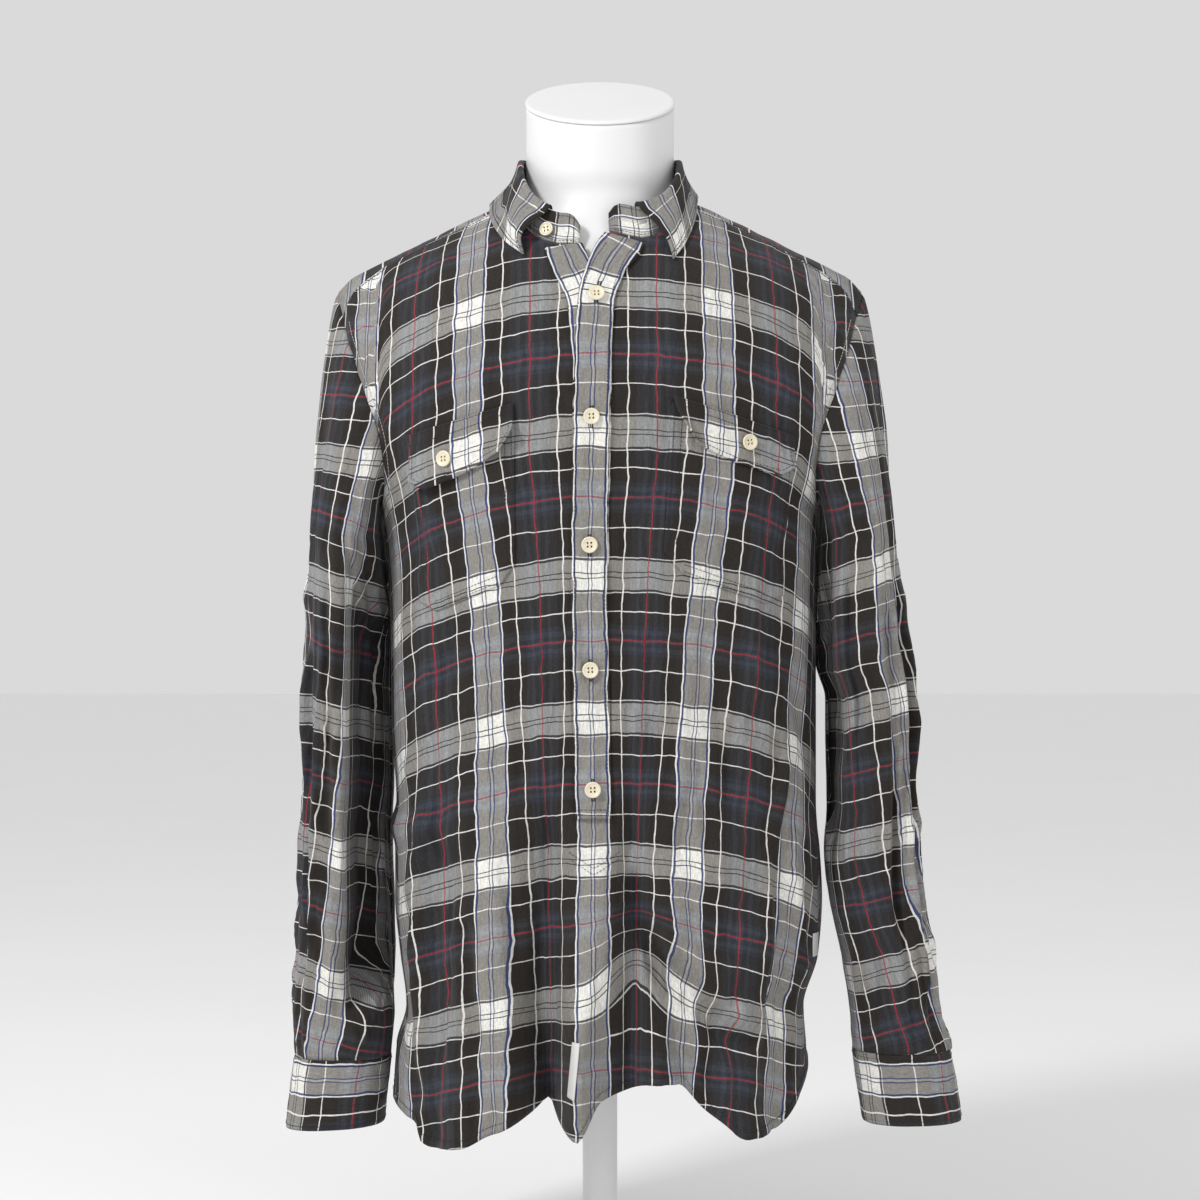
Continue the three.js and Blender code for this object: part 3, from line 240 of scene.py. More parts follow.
print("front depth at the chest:", float(depth("front", np.array([0.0]), np.array([680.0]))[0]))

# %% [markdown]
# ## Folds of the body
# The largest folds hang in the skirt below the placket: a deep hollow on its left, a ridge under
# its end and a slanting fold on its right. Flatter ones run down both sides, and the back has its
# own. They are placed one by one, each with its own length, width and depth.

# %% Folds, a row for each
Fold = namedtuple("Fold", "x lean top width out")
FOLDS = {
    "front": [
        (-43, -0.02, 420, 13, -34), (-68, -0.12, 420, 13, 14), (-16, 0.02, 330, 11, 20),
        (22, 0.02, 440, 11, -18), (78, -0.35, 330, 12, -11), (112, -0.05, 420, 18, 8),
        (-128, 0, 560, 8, -6), (-104, 0.01, 420, 18, 8), (140, 0, 520, 8, -6),
    ],
    "back": [
        (-118, 0.04, 520, 14, -8), (-72, 0.05, 620, 17, 8), (-28, 0.02, 560, 15, -9),
        (14, -0.02, 640, 17, 7), (58, -0.04, 540, 14, -9), (104, -0.06, 600, 18, 7),
    ],
}
CREASES = {
    "front": [
        (-45, 395, -36, 235, 9, -5), (17, 432, 20, 330, 5, -3.5), (20, 335, 62, 236, 9, -11),
        (34, 322, 118, 196, 13, 8.5), (44, 268, 112, 184, 11, -8.5), (-131, 410, -131, 130, 6, 5),
        (-122, 350, -124, 170, 5, -4), (-84, 352, -66, 118, 8, 5), (-72, 330, -56, 128, 5, -4),
        (-98, 300, -90, 180, 6, -3), (147, 430, 134, 222, 6, 5), (138, 380, 128, 190, 5, -4),
        (102, 250, 86, 152, 8, -5), (80, 220, 96, 140, 6, 4), (-30, 610, -34, 440, 5, -1.6),
        (12, 700, 14, 520, 5, -1.8), (40, 520, 48, 400, 7, -2.4), (66, 500, 58, 350, 6, 2.2),
        (92, 460, 100, 330, 7, -2.6), (-56, 520, -60, 370, 7, -2.4), (-88, 480, -84, 340, 7, 2.4),
        (-112, 560, -116, 400, 6, -2.2), (-140, 600, -120, 470, 7, -2.6), (146, 600, 128, 480, 7, -2.6),
        (118, 560, 112, 440, 6, 2.0), (-24, 800, -52, 836, 6, -1.6), (26, 800, 48, 838, 6, -1.6),
        (-158, 640, -140, 560, 8, -2.4), (158, 640, 142, 560, 8, -2.4), (-60, 640, -30, 600, 7, -1.2),
        (-8, 372, -12, 180, 9, 4), (52, 200, 40, 160, 8, 4),
    ],
    "back": [
        (-150, 640, -104, 470, 9, -3.2), (150, 640, 110, 480, 9, -3.2), (-130, 600, -86, 420, 8, 3),
        (128, 610, 92, 430, 8, 3), (-60, 700, -40, 520, 9, -2.2), (42, 690, 30, 500, 9, -2.2),
        (-96, 460, -70, 250, 8, -4), (86, 480, 66, 270, 8, -4), (-8, 560, -14, 330, 8, -3.4),
        (-50, 380, -46, 150, 7, 4.4), (34, 400, 40, 150, 7, 4.4), (124, 380, 134, 170, 8, -4.4),
        (-132, 360, -140, 170, 8, 4), (0, 300, 8, 150, 7, -3.6), (80, 320, 92, 150, 7, 3.6),
    ],
}
HEM_TURN = 7  # width of the turned hem
MOST_IN = 3.0  # no rumple goes further in than this over the chest, where the form is near
FORM = {
    "top_z": 943.5, "slope": 0.44, "cap": 4, "shoulder_z": 862, "bottom_z": 190, "end_x": 178, "ease": 3.7,
}
FORM_BODY = {
    "z": [190, 260, 390, 460, 560, 610, 660, 720, 900],
    "half": [138, 142, 140, 143, 157, 165, 180, 204, 216],
    "front": [94, 98, 100, 105, 116, 120, 120, 119.4, 119.4],
    "back": [84, 87, 85, 86, 92, 98, 101, 102.5, 102.5],
}
CLEAR_OF_FORM = 3.2  # how near the cloth comes to the dress form


def form_depth(side, x, z):
    """How far the dress form inside the shirt reaches from the middle plane."""
    part = np.clip(np.abs(x) / read(FORM_BODY, "half", z), 0, 1)
    blend = ease((z - UNDERARM_Z) / (CHEST_Z - UNDERARM_Z))
    full = read(FORM_BODY, side, z) * (1 - part ** lerp(2.3, 2.2, blend)) ** lerp(0.45, 0.66, blend)
    e = FULLNESS[side]
    rise = np.clip((z - CHEST_Z) / (ridge_z(x) - FORM["ease"] / 0.9 - CHEST_Z), 0, 1)
    return full * (1 - rise**e) ** (1 / e)


def room_inside(side, x, z):
    """How far the cloth can go in before it meets the form. Below the form it is free."""
    room = depth(side, x, z) - form_depth(side, x, z) - CLEAR_OF_FORM
    return np.maximum(room, 0.3) + 30 * ease((FORM["bottom_z"] - 6 - z) / 30)


def folds(side, x, z):
    total = np.zeros_like(x)
    for f in (Fold(*row) for row in FOLDS[side]):
        from_line = x - (f.x + f.lean * (z - 150))
        total += f.out * ease((f.top - z) / (f.top - 170)) * np.exp(-((from_line / f.width) ** 2))
    return total


def wrinkles(side, x, z):
    """Long shallow wrinkles, deeper in the loose skirt than over the chest."""
    seed = {"front": 3, "back": 31}[side]
    drift = 9 * rumple(x / 90, z / 120, seed)
    soft = rumple((x + drift) / 24, z / 95, seed + 1)
    sharp = 0.45 - np.abs(rumple((x + drift) / 15, z / 70 + 0.15 * x / 15, seed + 2))
    small = rumple(x / 9, z / 26, seed + 3)
    loose = lerp(0.45, 1.0, ease((560 - z) / 160))
    return loose * (3.6 * soft + 5.4 * sharp + 1.7 * small)


def body_place(side, x, z, out=0.0, smooth=False):
    """Points and outward normals of a body panel, moved out from it."""
    sign = -1 if side == "front" else 1
    middle, half = section(z)
    x_in = middle + (x - middle) * INSIDE_EDGE
    h = SLOPE_STEP
    slope_x = (depth(side, x_in + h, z) - depth(side, x_in - h, z)) / (2 * h)
    slope_z = (depth(side, x_in, z + h) - depth(side, x_in, z - h)) / (2 * h)
    normal = unit(np.stack([-slope_x, sign + 0 * x, -slope_z], -1))
    base = np.stack([x, sign * depth(side, x, z), z], -1)
    lift = out + 0 * x
    if not smooth:
        edge = half - np.abs(x - middle)
        lift = lift + folds(side, x, z) * ease((edge - 6) / 25)
        near_form = ease((z - 480) / 80)
        fine = creases(CREASES[side], x, z) * lerp(1.6, 1.2, near_form) + wrinkles(side, x, z)
        fine = np.where(fine < 0, fine * lerp(1, 0.55, near_form), fine)
        fine = np.maximum(fine, lerp(-15, -MOST_IN, near_form))
        high = lerp(1, 0.45, ease((z - 700) / 90))
        lift = lift + fine * high * ease((edge - 2) / 14)
        room = room_inside(side, x, z)
        lift = np.where(z < 760, (lift - room + np.hypot(lift + room, 2)) / 2, lift)
    return base + normal * lift[..., None], normal


def on_body(side, x, z, out=0.0):
    """Points on the folded cloth, moved out, with the normals of the smooth body below it."""
    points, _ = body_place(side, x, z, out)
    _, normal = body_place(side, x, z, smooth=True)
    return points, normal


# %% [markdown]
# ## Where the plaid lies
# A check is woven straight, so its lines show how the cloth runs. Across the body the pattern is
# measured along the cloth from the centre front; upwards it is measured from the underarm. On the
# worn shirt the level lines sink towards the sides, and the deep folds swallow some cloth, so both
# corrections are added here.

# %% Cloth coordinates of the body
CENTRE_X = -5.4
PLAID_BAND_Z = 669.0  # a light band crosses the centre front at this height
SWALLOW = {
    "z": [150, 220, 330, 450, 548, 655],
    "left": [24, 24, 21, 18, 13, 0],
    "right": [28, 27, 25, 19, 12, 0],
    "far_right": [16, 13, 5, 2, 0, 0],
}
STEPS = 36  # steps of a length that is summed along the cloth


def length_along(place, deep):
    """Length of cloth summed over short steps: place gives where a share lies, deep its depth."""
    spots = [(place(k / STEPS), deep(place(k / STEPS))) for k in range(STEPS + 1)]
    return sum(np.hypot(b[0] - a[0], b[1] - a[1]) for a, b in zip(spots, spots[1:]))


def length_across(side, x, z):
    """Length of cloth from the middle of a level section to x."""
    middle, half = section(z)
    angle = np.arcsin(np.clip((x - middle) / half, -1, 1))
    total = length_along(lambda t: middle + half * np.sin(angle * t), lambda at: depth(side, at, z))
    return np.sign(x - middle) * total


def length_up(side, x, z):
    """Length of cloth from the underarm's height up to z."""
    low, high = np.minimum(UNDERARM_Z, z), np.maximum(UNDERARM_Z, z)
    total = length_along(lambda t: low + (high - low) * math.sin(QUARTER * t), lambda at: depth(side, x, at))
    return np.sign(z - UNDERARM_Z) * total


def droop(across):
    left = 38 * (np.clip(-across, 0, 260) / 165) ** 1.8
    right = 34 * (np.clip(across - 15, 0, 260) / 170) ** 2.2
    return left + right


def body_cloth(side, x, z):
    """Where a point of the body lies on the woven cloth: across and up, in mm."""
    start = length_across(side, CENTRE_X + 0 * x, z)
    across = length_across(side, x, z) - start
    gained = 0 * x
    if side == "front":
        spread = lerp(48, 15, ease((520 - z) / 190))
        gained += read(SWALLOW, "left", z) * (ease((x + 40) / (2 * spread) + 0.5) - 1)
        gained += read(SWALLOW, "right", z) * ease((x - 27) / (2 * spread) + 0.5)
        gained += read(SWALLOW, "far_right", z) * ease((x - 84) / 36 + 0.5)
    up = length_up(side, x, z) - (PLAID_BAND_Z - UNDERARM_Z)
    pulled = -31 * np.exp(-(((x - 29) / 30) ** 2) - ((z - 258) / 42) ** 2) if side == "front" else 0
    return across + gained, up + droop(across) + pulled


# %% [markdown]
# ## From a flat grid to a sheet of cloth
# Cloth is a grid of threads, so each piece starts as bmesh's flat grid. A function then says where
# each of its points goes, and where it lies on the woven cloth, which becomes the UV map that the
# plaid reads. A Solidify modifier gives the sheet its thickness last.

# %% Making a sheet
CLOTH = 0.9  # thickness shown, one layer of brushed cotton
shirt_pieces = {}


def mesh_from(bm, name):
    mesh = bpy.data.meshes.new(name)
    bm.to_mesh(mesh)
    bm.free()
    return mesh


def in_scene(name, data):
    made = bpy.data.objects.new(name, data)
    bpy.context.scene.collection.objects.link(made)
    return made


def grid_mesh(name, columns, rows):
    """A flat grid mesh, and each vertex's share across and up it, from 0 to 1."""
    bm = bmesh.new()
    bmesh.ops.create_grid(bm, x_segments=columns, y_segments=rows, size=0.5)
    mesh = mesh_from(bm, name)
    flat = np.empty(len(mesh.vertices) * 3)
    mesh.vertices.foreach_get("co", flat)
    flat = flat.reshape(-1, 3) + 0.5
    return mesh, flat[:, 0], flat[:, 1]


def fill(mesh, points, cloth):
    """Put the grid's points in place and write the cloth coordinates as its UV map."""
    mesh.vertices.foreach_set("co", (points * MM).ravel())
    corner = np.empty(len(mesh.loops), int)
    mesh.loops.foreach_get("vertex_index", corner)
    layer = mesh.uv_layers.new(name="cloth")
    layer.data.foreach_set("uv", (np.stack(cloth, -1)[corner] * MM).ravel())
    mesh.update()


def face_outwards(mesh, outward, closed=False):
    """Merge a ring's seam and turn all the faces to the side that the normals point to."""
    bm = bmesh.new()
    bm.from_mesh(mesh)
    if closed:
        bmesh.ops.remove_doubles(bm, verts=bm.verts, dist=1e-6)
    bmesh.ops.recalc_face_normals(bm, faces=bm.faces)
    some = list(bm.faces)[:: max(1, len(bm.faces) // 200)]
    agree = sum(outward(f.calc_center_median() / MM).dot(f.normal) for f in some)
    if agree < 0:
        bmesh.ops.reverse_faces(bm, faces=bm.faces)
    for f in bm.faces:
        f.smooth = True
    bm.to_mesh(mesh)
    bm.free()


def add_piece(name, mesh, replaces, slot):
    piece = in_scene(name, mesh)
    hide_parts(replaces)
    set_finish(piece, slot)
    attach(piece, "root")
    shirt_pieces[name] = piece
    return piece


def sheet(name, columns, rows, shape, outward, slot, node, closed=False, thick=CLOTH):
    """One sewn piece: shape(u, v) gives its points and its cloth coordinates."""
    mesh, u, v = grid_mesh(name, columns, rows)
    fill(mesh, *shape(u, v))
    face_outwards(mesh, outward, closed)
    piece = add_piece(name, mesh, node, slot)
    wall = piece.modifiers.new("thickness", "SOLIDIFY")
    wall.thickness = thick * MM
    wall.offset = -1
    print(name, "faces:", len(mesh.polygons))


def from_middle(p):
    return Vector((p[0], p[1] + 5, 0))


# %% [markdown]
# ## Front and back panels
# Each body panel is one piece of cloth. Its columns spread evenly round the body at the underarm
# and fan in to the yoke seam, the neckline and the slit of the half placket. Between the armholes
# the grid blends its four borders, so the rows stay even and the seams are exact.

# %% Neckline and yoke seam
NECKLINE = {"x": 68, "left": 79, "right": 75, "back": 68, "y": -5}
YOKE_FRONT = {"neck_y": -35, "sleeve_y": -20}
YOKE_BACK = {"centre_z": 772, "sleeve_z": 752}
SLIT = {"left": (-16, 818), "bottom": (-9, 800), "right": (7, 829)}


def neckline(angle):
    """Plan of the neckline: angle 0 is the centre front, positive to the right."""
    x = NECKLINE["x"] * np.sin(angle)
    part = np.abs(x) / NECKLINE["x"]
    front = np.cos(angle) > 0
    power = np.where(front, 3.5, 2.3)
    reach = (1 - part**power) ** (1 / power)
    deep = np.where(x < 0, NECKLINE["left"], NECKLINE["right"])
    return x, NECKLINE["y"] + np.where(front, -deep, NECKLINE["back"]) * reach


def neck_corner(sign):
    angle = np.linspace(QUARTER, 0.4, 1200)
    _, y = neckline(sign * angle)
    return float(angle[np.argmax(y <= YOKE_FRONT["neck_y"])])


NECK_CORNER = {-1: neck_corner(-1), 1: neck_corner(1)}


def front_sleeve_z():
    z = np.arange(780, 700, -0.25)
    y = depth("front", read(ARMHOLE, "front", z), z)
    return float(z[np.argmax(y >= -YOKE_FRONT["sleeve_y"])])


SLEEVE_TOP = {"front": front_sleeve_z(), "back": YOKE_BACK["sleeve_z"]}
SLEEVE_END = (float(read(ARMHOLE, "front", SLEEVE_TOP["front"])), YOKE_FRONT["sleeve_y"])


def polyline(points, at):
    """Points along a line of corners, at is counted in corners."""
    points = np.asarray(points, float)
    k = np.clip(np.floor(at).astype(int), 0, len(points) - 2)
    return lerp(points[k], points[k + 1], (at - k)[..., None])


TOP_COUNT = 26  # counts the front's top border from sleeve to sleeve
SEAM_END, NECK_END = 6, 11  # where its yoke seam and its neckline end, counted from a sleeve
SLIT_ANGLE = 0.3


def front_top(u):
    """Top border of the front as x and z: yoke seam, neckline, slit and back up again."""
    place = u * TOP_COUNT
    x, z = np.zeros_like(u), np.zeros_like(u)
    for sign, slit in ((-1, SLIT["left"]), (1, SLIT["right"])):
        count = place if sign < 0 else TOP_COUNT - place
        corner_x, corner_y = neckline(np.array([sign * NECK_CORNER[sign]]))
        t = np.clip(count / SEAM_END, 0, 1)
        angle = lerp(NECK_CORNER[sign], SLIT_ANGLE, np.clip((count - SEAM_END) / 6, 0, 5 / 6))
        neck_x, neck_y = neckline(sign * angle)
        plan_x = np.where(count <= SEAM_END, lerp(sign * SLEEVE_END[0], corner_x[0], t), neck_x)
        plan_y = np.where(count <= SEAM_END, lerp(SLEEVE_END[1], corner_y[0], t), neck_y)
        last_x, last_y = neckline(np.array([sign * lerp(NECK_CORNER[sign], SLIT_ANGLE, 5 / 6)]))
        last_z = shoulder_z(last_x, last_y)
        slit_line = polyline([(last_x[0], last_z[0]), slit, SLIT["bottom"]], np.clip(count - NECK_END, 0, 2))
        here, above = count <= TOP_COUNT / 2, count <= NECK_END
        x = np.where(here, np.where(above, plan_x, slit_line[..., 0]), x)
        z = np.where(here, np.where(above, shoulder_z(plan_x, plan_y), slit_line[..., 1]), z)
    return x, z


def back_top(u):
    end = float(read(ARMHOLE, "back", YOKE_BACK["sleeve_z"]))
    x = lerp(-end, end, u)
    return x, lerp(YOKE_BACK["centre_z"], YOKE_BACK["sleeve_z"], (x / end) ** 2)


# %% The panel's grid
HEM = {"front": FRONT_HEM, "back": BACK_HEM}
TOP = {"front": front_top, "back": back_top}
LOWER_SHARE = 0.68  # share of a panel's rows below the underarm


def panel_plan(side, u, v):
    """x and z of a panel's points from their shares across and up."""

    def angle_of(x, z):
        middle, half = section(z)
        return np.arcsin(np.clip((x - middle) / half, -1, 1))

    def x_of(angle, z):
        middle, half = section(z)
        return middle + half * np.sin(angle)

    level = lerp(-QUARTER, QUARTER, u)
    hem_z = read(HEM[side], "z", x_of(level, 150 + 0 * u), key="x")
    low_z = lerp(hem_z, UNDERARM_Z, np.clip(v / LOWER_SHARE, 0, 1))
    t = np.clip((v - LOWER_SHARE) / (1 - LOWER_SHARE), 0, 1)
    top_x, top_z = TOP[side](u)
    end_z = SLEEVE_TOP[side]
    edge_z = lerp(UNDERARM_Z, end_z, t)
    edge_x = read(ARMHOLE, side, edge_z)
    end_x = read(ARMHOLE, side, end_z + 0 * u)
    low, high = (np.where(t <= 0, sign * QUARTER, angle_of(sign * edge_x, edge_z)) for sign in (-1, 1))
    low_end, high_end = (angle_of(sign * end_x, end_z + 0 * u) for sign in (-1, 1))
    angle = lerp(low, high, u) + t * (angle_of(top_x, top_z) - lerp(low_end, high_end, u))
    upper = v > LOWER_SHARE
    angle = np.where(upper, angle, level)
    z = np.where(upper, edge_z + t * (top_z - end_z), low_z)
    return np.where(v > LAST, top_x, x_of(angle, z)), z


def hem_lift(from_edge):
    """The turned hem is two more layers, and puckers a little along its stitches."""
    return 0.9 * ease((HEM_TURN - from_edge) / 1.6 + 0.5)


def panel_shape(side):
    def shape(u, v):
        x, z = panel_plan(side, u, v)
        _, hem_z = panel_plan(side, u, 0 * v)
        points, normal = body_place(side, x, z)
        lift = hem_lift(z - hem_z) + 0.5 * rumple(x / 6, z / 14, 77) * ease((22 - (z - hem_z)) / 14)
        return points + normal * lift[:, None], body_cloth(side, x, z)

    return shape


sheet("front_panel", 150, 200, panel_shape("front"), from_middle, "flannel", "front")
sheet("back_panel", 130, 180, panel_shape("back"), from_middle, "flannel", "back")

# %% [markdown]
# ## Yoke
# The yoke is a separate piece over the shoulders. It reaches a little way down the front, to a
# seam about a thumb's width from the ridge, and further down the back. It is laid flat over the
# form in plan and lifted to the shoulder's height.

# %% Yoke
YOKE_SIDE = 4  # counts the yoke's outer border from a sleeve's front end to its back end
YOKE_BACK_COUNT = 22
YOKE_COUNT = 2 * YOKE_SIDE + YOKE_BACK_COUNT


def sleeve_top_edge(k):
    """Border between the yoke and a sleeve: k runs from 0 at the front to 4 at the back."""
    tip_z = ridge_z(np.array([TIP_X]))[0] - 0.3
    ahead = k < YOKE_SIDE / 2
    part = np.where(ahead, 1 - k / (YOKE_SIDE / 2), (k - YOKE_SIDE / 2) / (YOKE_SIDE / 2))
    end = np.where(ahead, SLEEVE_TOP["front"], SLEEVE_TOP["back"])
    z = tip_z - (tip_z - end) * part**2
    x = np.where(ahead, read(ARMHOLE, "front", z), read(ARMHOLE, "back", z))
    y = np.where(ahead, -depth("front", x, z), depth("back", x, z))
    return x, np.where(part < 1e-6, 0, y)


def yoke_border(u):
    """Outer border of the yoke in plan, from the left front end round the back."""
    place = u * YOKE_COUNT
    from_left = place <= YOKE_COUNT / 2
    side = np.clip(np.where(from_left, place, YOKE_COUNT - place), 0, YOKE_SIDE)
    x, y = sleeve_top_edge(side)
    x = np.where(from_left, -x, x)
    across = np.clip((place - YOKE_SIDE) / YOKE_BACK_COUNT, 0, 1)
    seam_x, seam_z = back_top(across)
    seam_y = depth("back", seam_x, seam_z)
    inside = (place > YOKE_SIDE) & (place < YOKE_COUNT - YOKE_SIDE)
    return np.where(inside, seam_x, x), np.where(inside, seam_y, y)


def yoke_shape(u, v):
    inner_x, inner_y = neckline(-lerp(NECK_CORNER[-1], TURN - NECK_CORNER[1], u))
    outer_x, outer_y = yoke_border(u)
    x, y = lerp(inner_x, outer_x, v), lerp(inner_y, outer_y, v)
    points, normal = shoulder_place(x, y)
    rough = 0.5 * rumple(x / 26, y / 34, 51) + 0.35 * rumple(x / 11, y / 19, 52)
    seam = 0.5 * ease((2.5 - (1 - v) * np.hypot(outer_x - inner_x, outer_y - inner_y)) / 2)
    points = points + normal * (rough * ease(v * 6) * ease((1 - v) * 8) + seam)[:, None]
    back_drop = np.clip(points[:, 1], 0, None) * 0.35
    return points, (x - CENTRE_X, 34 - y - back_drop)


def upwards(p):
    return Vector((p[0] * 0.2, p[1] * 0.2, 1))


sheet("yoke_panel", 120, 34, yoke_shape, upwards, "flannel", "yoke")

# %% [markdown]
# ## Sleeves
# A sleeve is one piece sewn into a tube under the arm. It hangs empty, so its front and back fall
# close together and it is flat towards the body. Its top blends from the armhole into the tube,
# with some spare cloth over the tip of the shoulder. Each has one deep fold where it turns from
# the body, and many narrow ones that run down its length.

# %% Sleeve tables
SLEEVES = {
    "left": {
        "z": [590, 540, 470, 400, 350, 300, 250, 210, 176],
        "inner": [175.4, 170.3, 170.2, 169.4, 170.9, 169, 167, 166, 168],
        "outer": [232, 235, 237, 238, 239, 240, 243, 245, 245],
        "y": [2, 1, -1, -4, -8, -11, -14, -16, -17],
        "depth": [79, 80, 76, 70, 64, 58, 51, 45, 39],
    },
    "right": {
        "z": [590, 540, 490, 460, 378, 338, 300, 250, 210, 181],
        "inner": [176.6, 175.4, 176, 184, 185, 181, 185, 195.5, 201.5, 203],
        "outer": [236, 243, 248, 251, 253.5, 256, 259, 267, 270, 281],
        "y": [2, 1, -1, -2, -6, -9, -11, -14, -16, -17],
        "depth": [79, 80, 77, 75, 67, 62, 57, 50, 44, 39],
    },
}
SIGN = {"left": -1, "right": 1}
TUBE_SQUARENESS = 2.3
LOOP_FRONT, LOOP_YOKE, LOOP_COUNT = 8, 12, 20  # how the armhole loop is counted
CAP_SHARE = 0.22  # share of a sleeve's rows above the underarm
# Light stripe's place round each sleeve from its inner edge, and a light band's height
SLEEVE_PLAID = {"left": (75, 547.5), "right": (112, 560)}
# Long folds: share round the tube, slant, height they start and end at, half width in share, depth
TubeFold = namedtuple("TubeFold", "share slant top bottom width out")
SLEEVE_FOLDS = {
    "left": [
        (0.26, 0.01, 640, 200, 0.022, 7), (0.3, -0.03, 560, 300, 0.018, -7),
        (0.34, 0.01, 480, 220, 0.014, 5), (0.38, 0.02, 600, 220, 0.02, -6),
        (0.42, -0.02, 520, 240, 0.018, 5), (0.16, 0.1, 330, 190, 0.03, -9),
        (0.1, 0.05, 620, 380, 0.018, 6), (0.17, -0.04, 600, 330, 0.016, -6),
        (0.58, 0.03, 600, 260, 0.03, -8), (0.7, -0.03, 620, 220, 0.03, 8), (0.82, 0.03, 600, 260, 0.03, -8),
    ],
    "right": [
        (0.09, 0.02, 640, 380, 0.022, -10), (0.15, 0.04, 600, 280, 0.016, 7),
        (0.2, -0.03, 600, 280, 0.016, -9), (0.26, 0.03, 590, 300, 0.015, 7),
        (0.31, -0.02, 560, 230, 0.014, -8), (0.35, 0.02, 520, 200, 0.012, 6),
        (0.38, 0.02, 620, 250, 0.014, -6), (0.42, -0.01, 560, 240, 0.014, 6),
        (0.12, 0.06, 330, 230, 0.03, -10), (0.58, -0.03, 600, 280, 0.03, -8),
        (0.7, 0.03, 600, 240, 0.03, 8), (0.83, -0.02, 620, 260, 0.03, -9),
    ],
}
# The front of a sleeve folds back beside the body: share it folds at, how far, the cloth that
# the fold hides, and its heights
Pleat = namedtuple("Pleat", "share deep hidden top bottom")
SLEEVE_PLEAT = {"left": Pleat(0.23, 72, 60, 590, 205), "right": Pleat(0.105, 46, 44, 580, 330)}


# %% The armhole and the tube
def armhole_loop(sign, at):
    """Armhole seam: up the front, over the shoulder, down the back. at is counted to LOOP_COUNT."""
    up_front = np.clip(at / LOOP_FRONT, 0, 1)
    up_back = np.clip((LOOP_COUNT - at) / LOOP_FRONT, 0, 1)
    x, y = sleeve_top_edge(np.clip(at - LOOP_FRONT, 0, YOKE_SIDE))
    z = shoulder_z(x, y)
    ways = {"front": (up_front, -1, at < LOOP_FRONT), "back": (up_back, 1, at > LOOP_YOKE)}
    for side, (up, toward, here) in ways.items():
        side_z = lerp(UNDERARM_Z, SLEEVE_TOP[side], up**1.1)
        side_x = read(ARMHOLE, side, side_z)
        side_y = toward * depth(side, side_x, side_z)
        side_y = np.where(up <= 0, 0, side_y)
        x, y, z = (np.where(here, a, b) for a, b in ((side_x, x), (side_y, y), (side_z, z)))
    return np.stack([sign * x, y, z], -1)


def squared(v):
    """Sine or cosine of a tube's rounded, slightly square section."""
    return np.sign(v) * np.abs(v) ** (2 / TUBE_SQUARENESS)


def tube(table, sign, z, share):
    """A sleeve's section at a height: share 0 is the inner edge and runs over the front."""
    inner, outer = read(table, "inner", z), read(table, "outer", z)
    x = (inner + outer) / 2 - squared(np.cos(TURN * share)) * (outer - inner) / 2
    y = read(table, "y", z) - squared(np.sin(TURN * share)) * read(table, "depth", z)
    return np.stack([sign * x, y, z + 0 * x], -1)


def pleated(side, share, z, w):
    """Where a sleeve's cloth lies behind its fold: 0 is in front and 1 behind."""
    fold = SLEEVE_PLEAT[side]
    behind = ease((fold.share + 0.01 - share) / 0.02) * ease(share / 0.05)
    tall = ease((fold.top - z) / 90) * ease((z - fold.bottom) / 60)
    return behind * np.where(w >= 1, tall, 0)


def sleeve_creases(side, share, z):
    """Folds of a hanging sleeve, kept off the strip that faces the body."""
    free = np.sin(math.pi * share) ** 0.7
    total = np.zeros_like(share)
    for f in (TubeFold(*row) for row in SLEEVE_FOLDS[side]):
        where = f.share + f.slant * (f.top - z) / (f.top - f.bottom)
        fade = ease((f.top - z) / 60) * ease((z - f.bottom) / 60)
        total += f.out * fade * np.exp(-(((share - where) / f.width) ** 2))
    seed = {"left": 11, "right": 15}[side]
    around = share * 22
    total += 4.2 * rumple(around * 0.8, z / 75, seed)
    total += 6.5 * (0.4 - np.abs(rumple(around, z / 60, seed + 1)))
    total += 2.0 * rumple(around * 2.3, z / 24, seed + 2)
    return total * free * ease((z - 172) / 22)


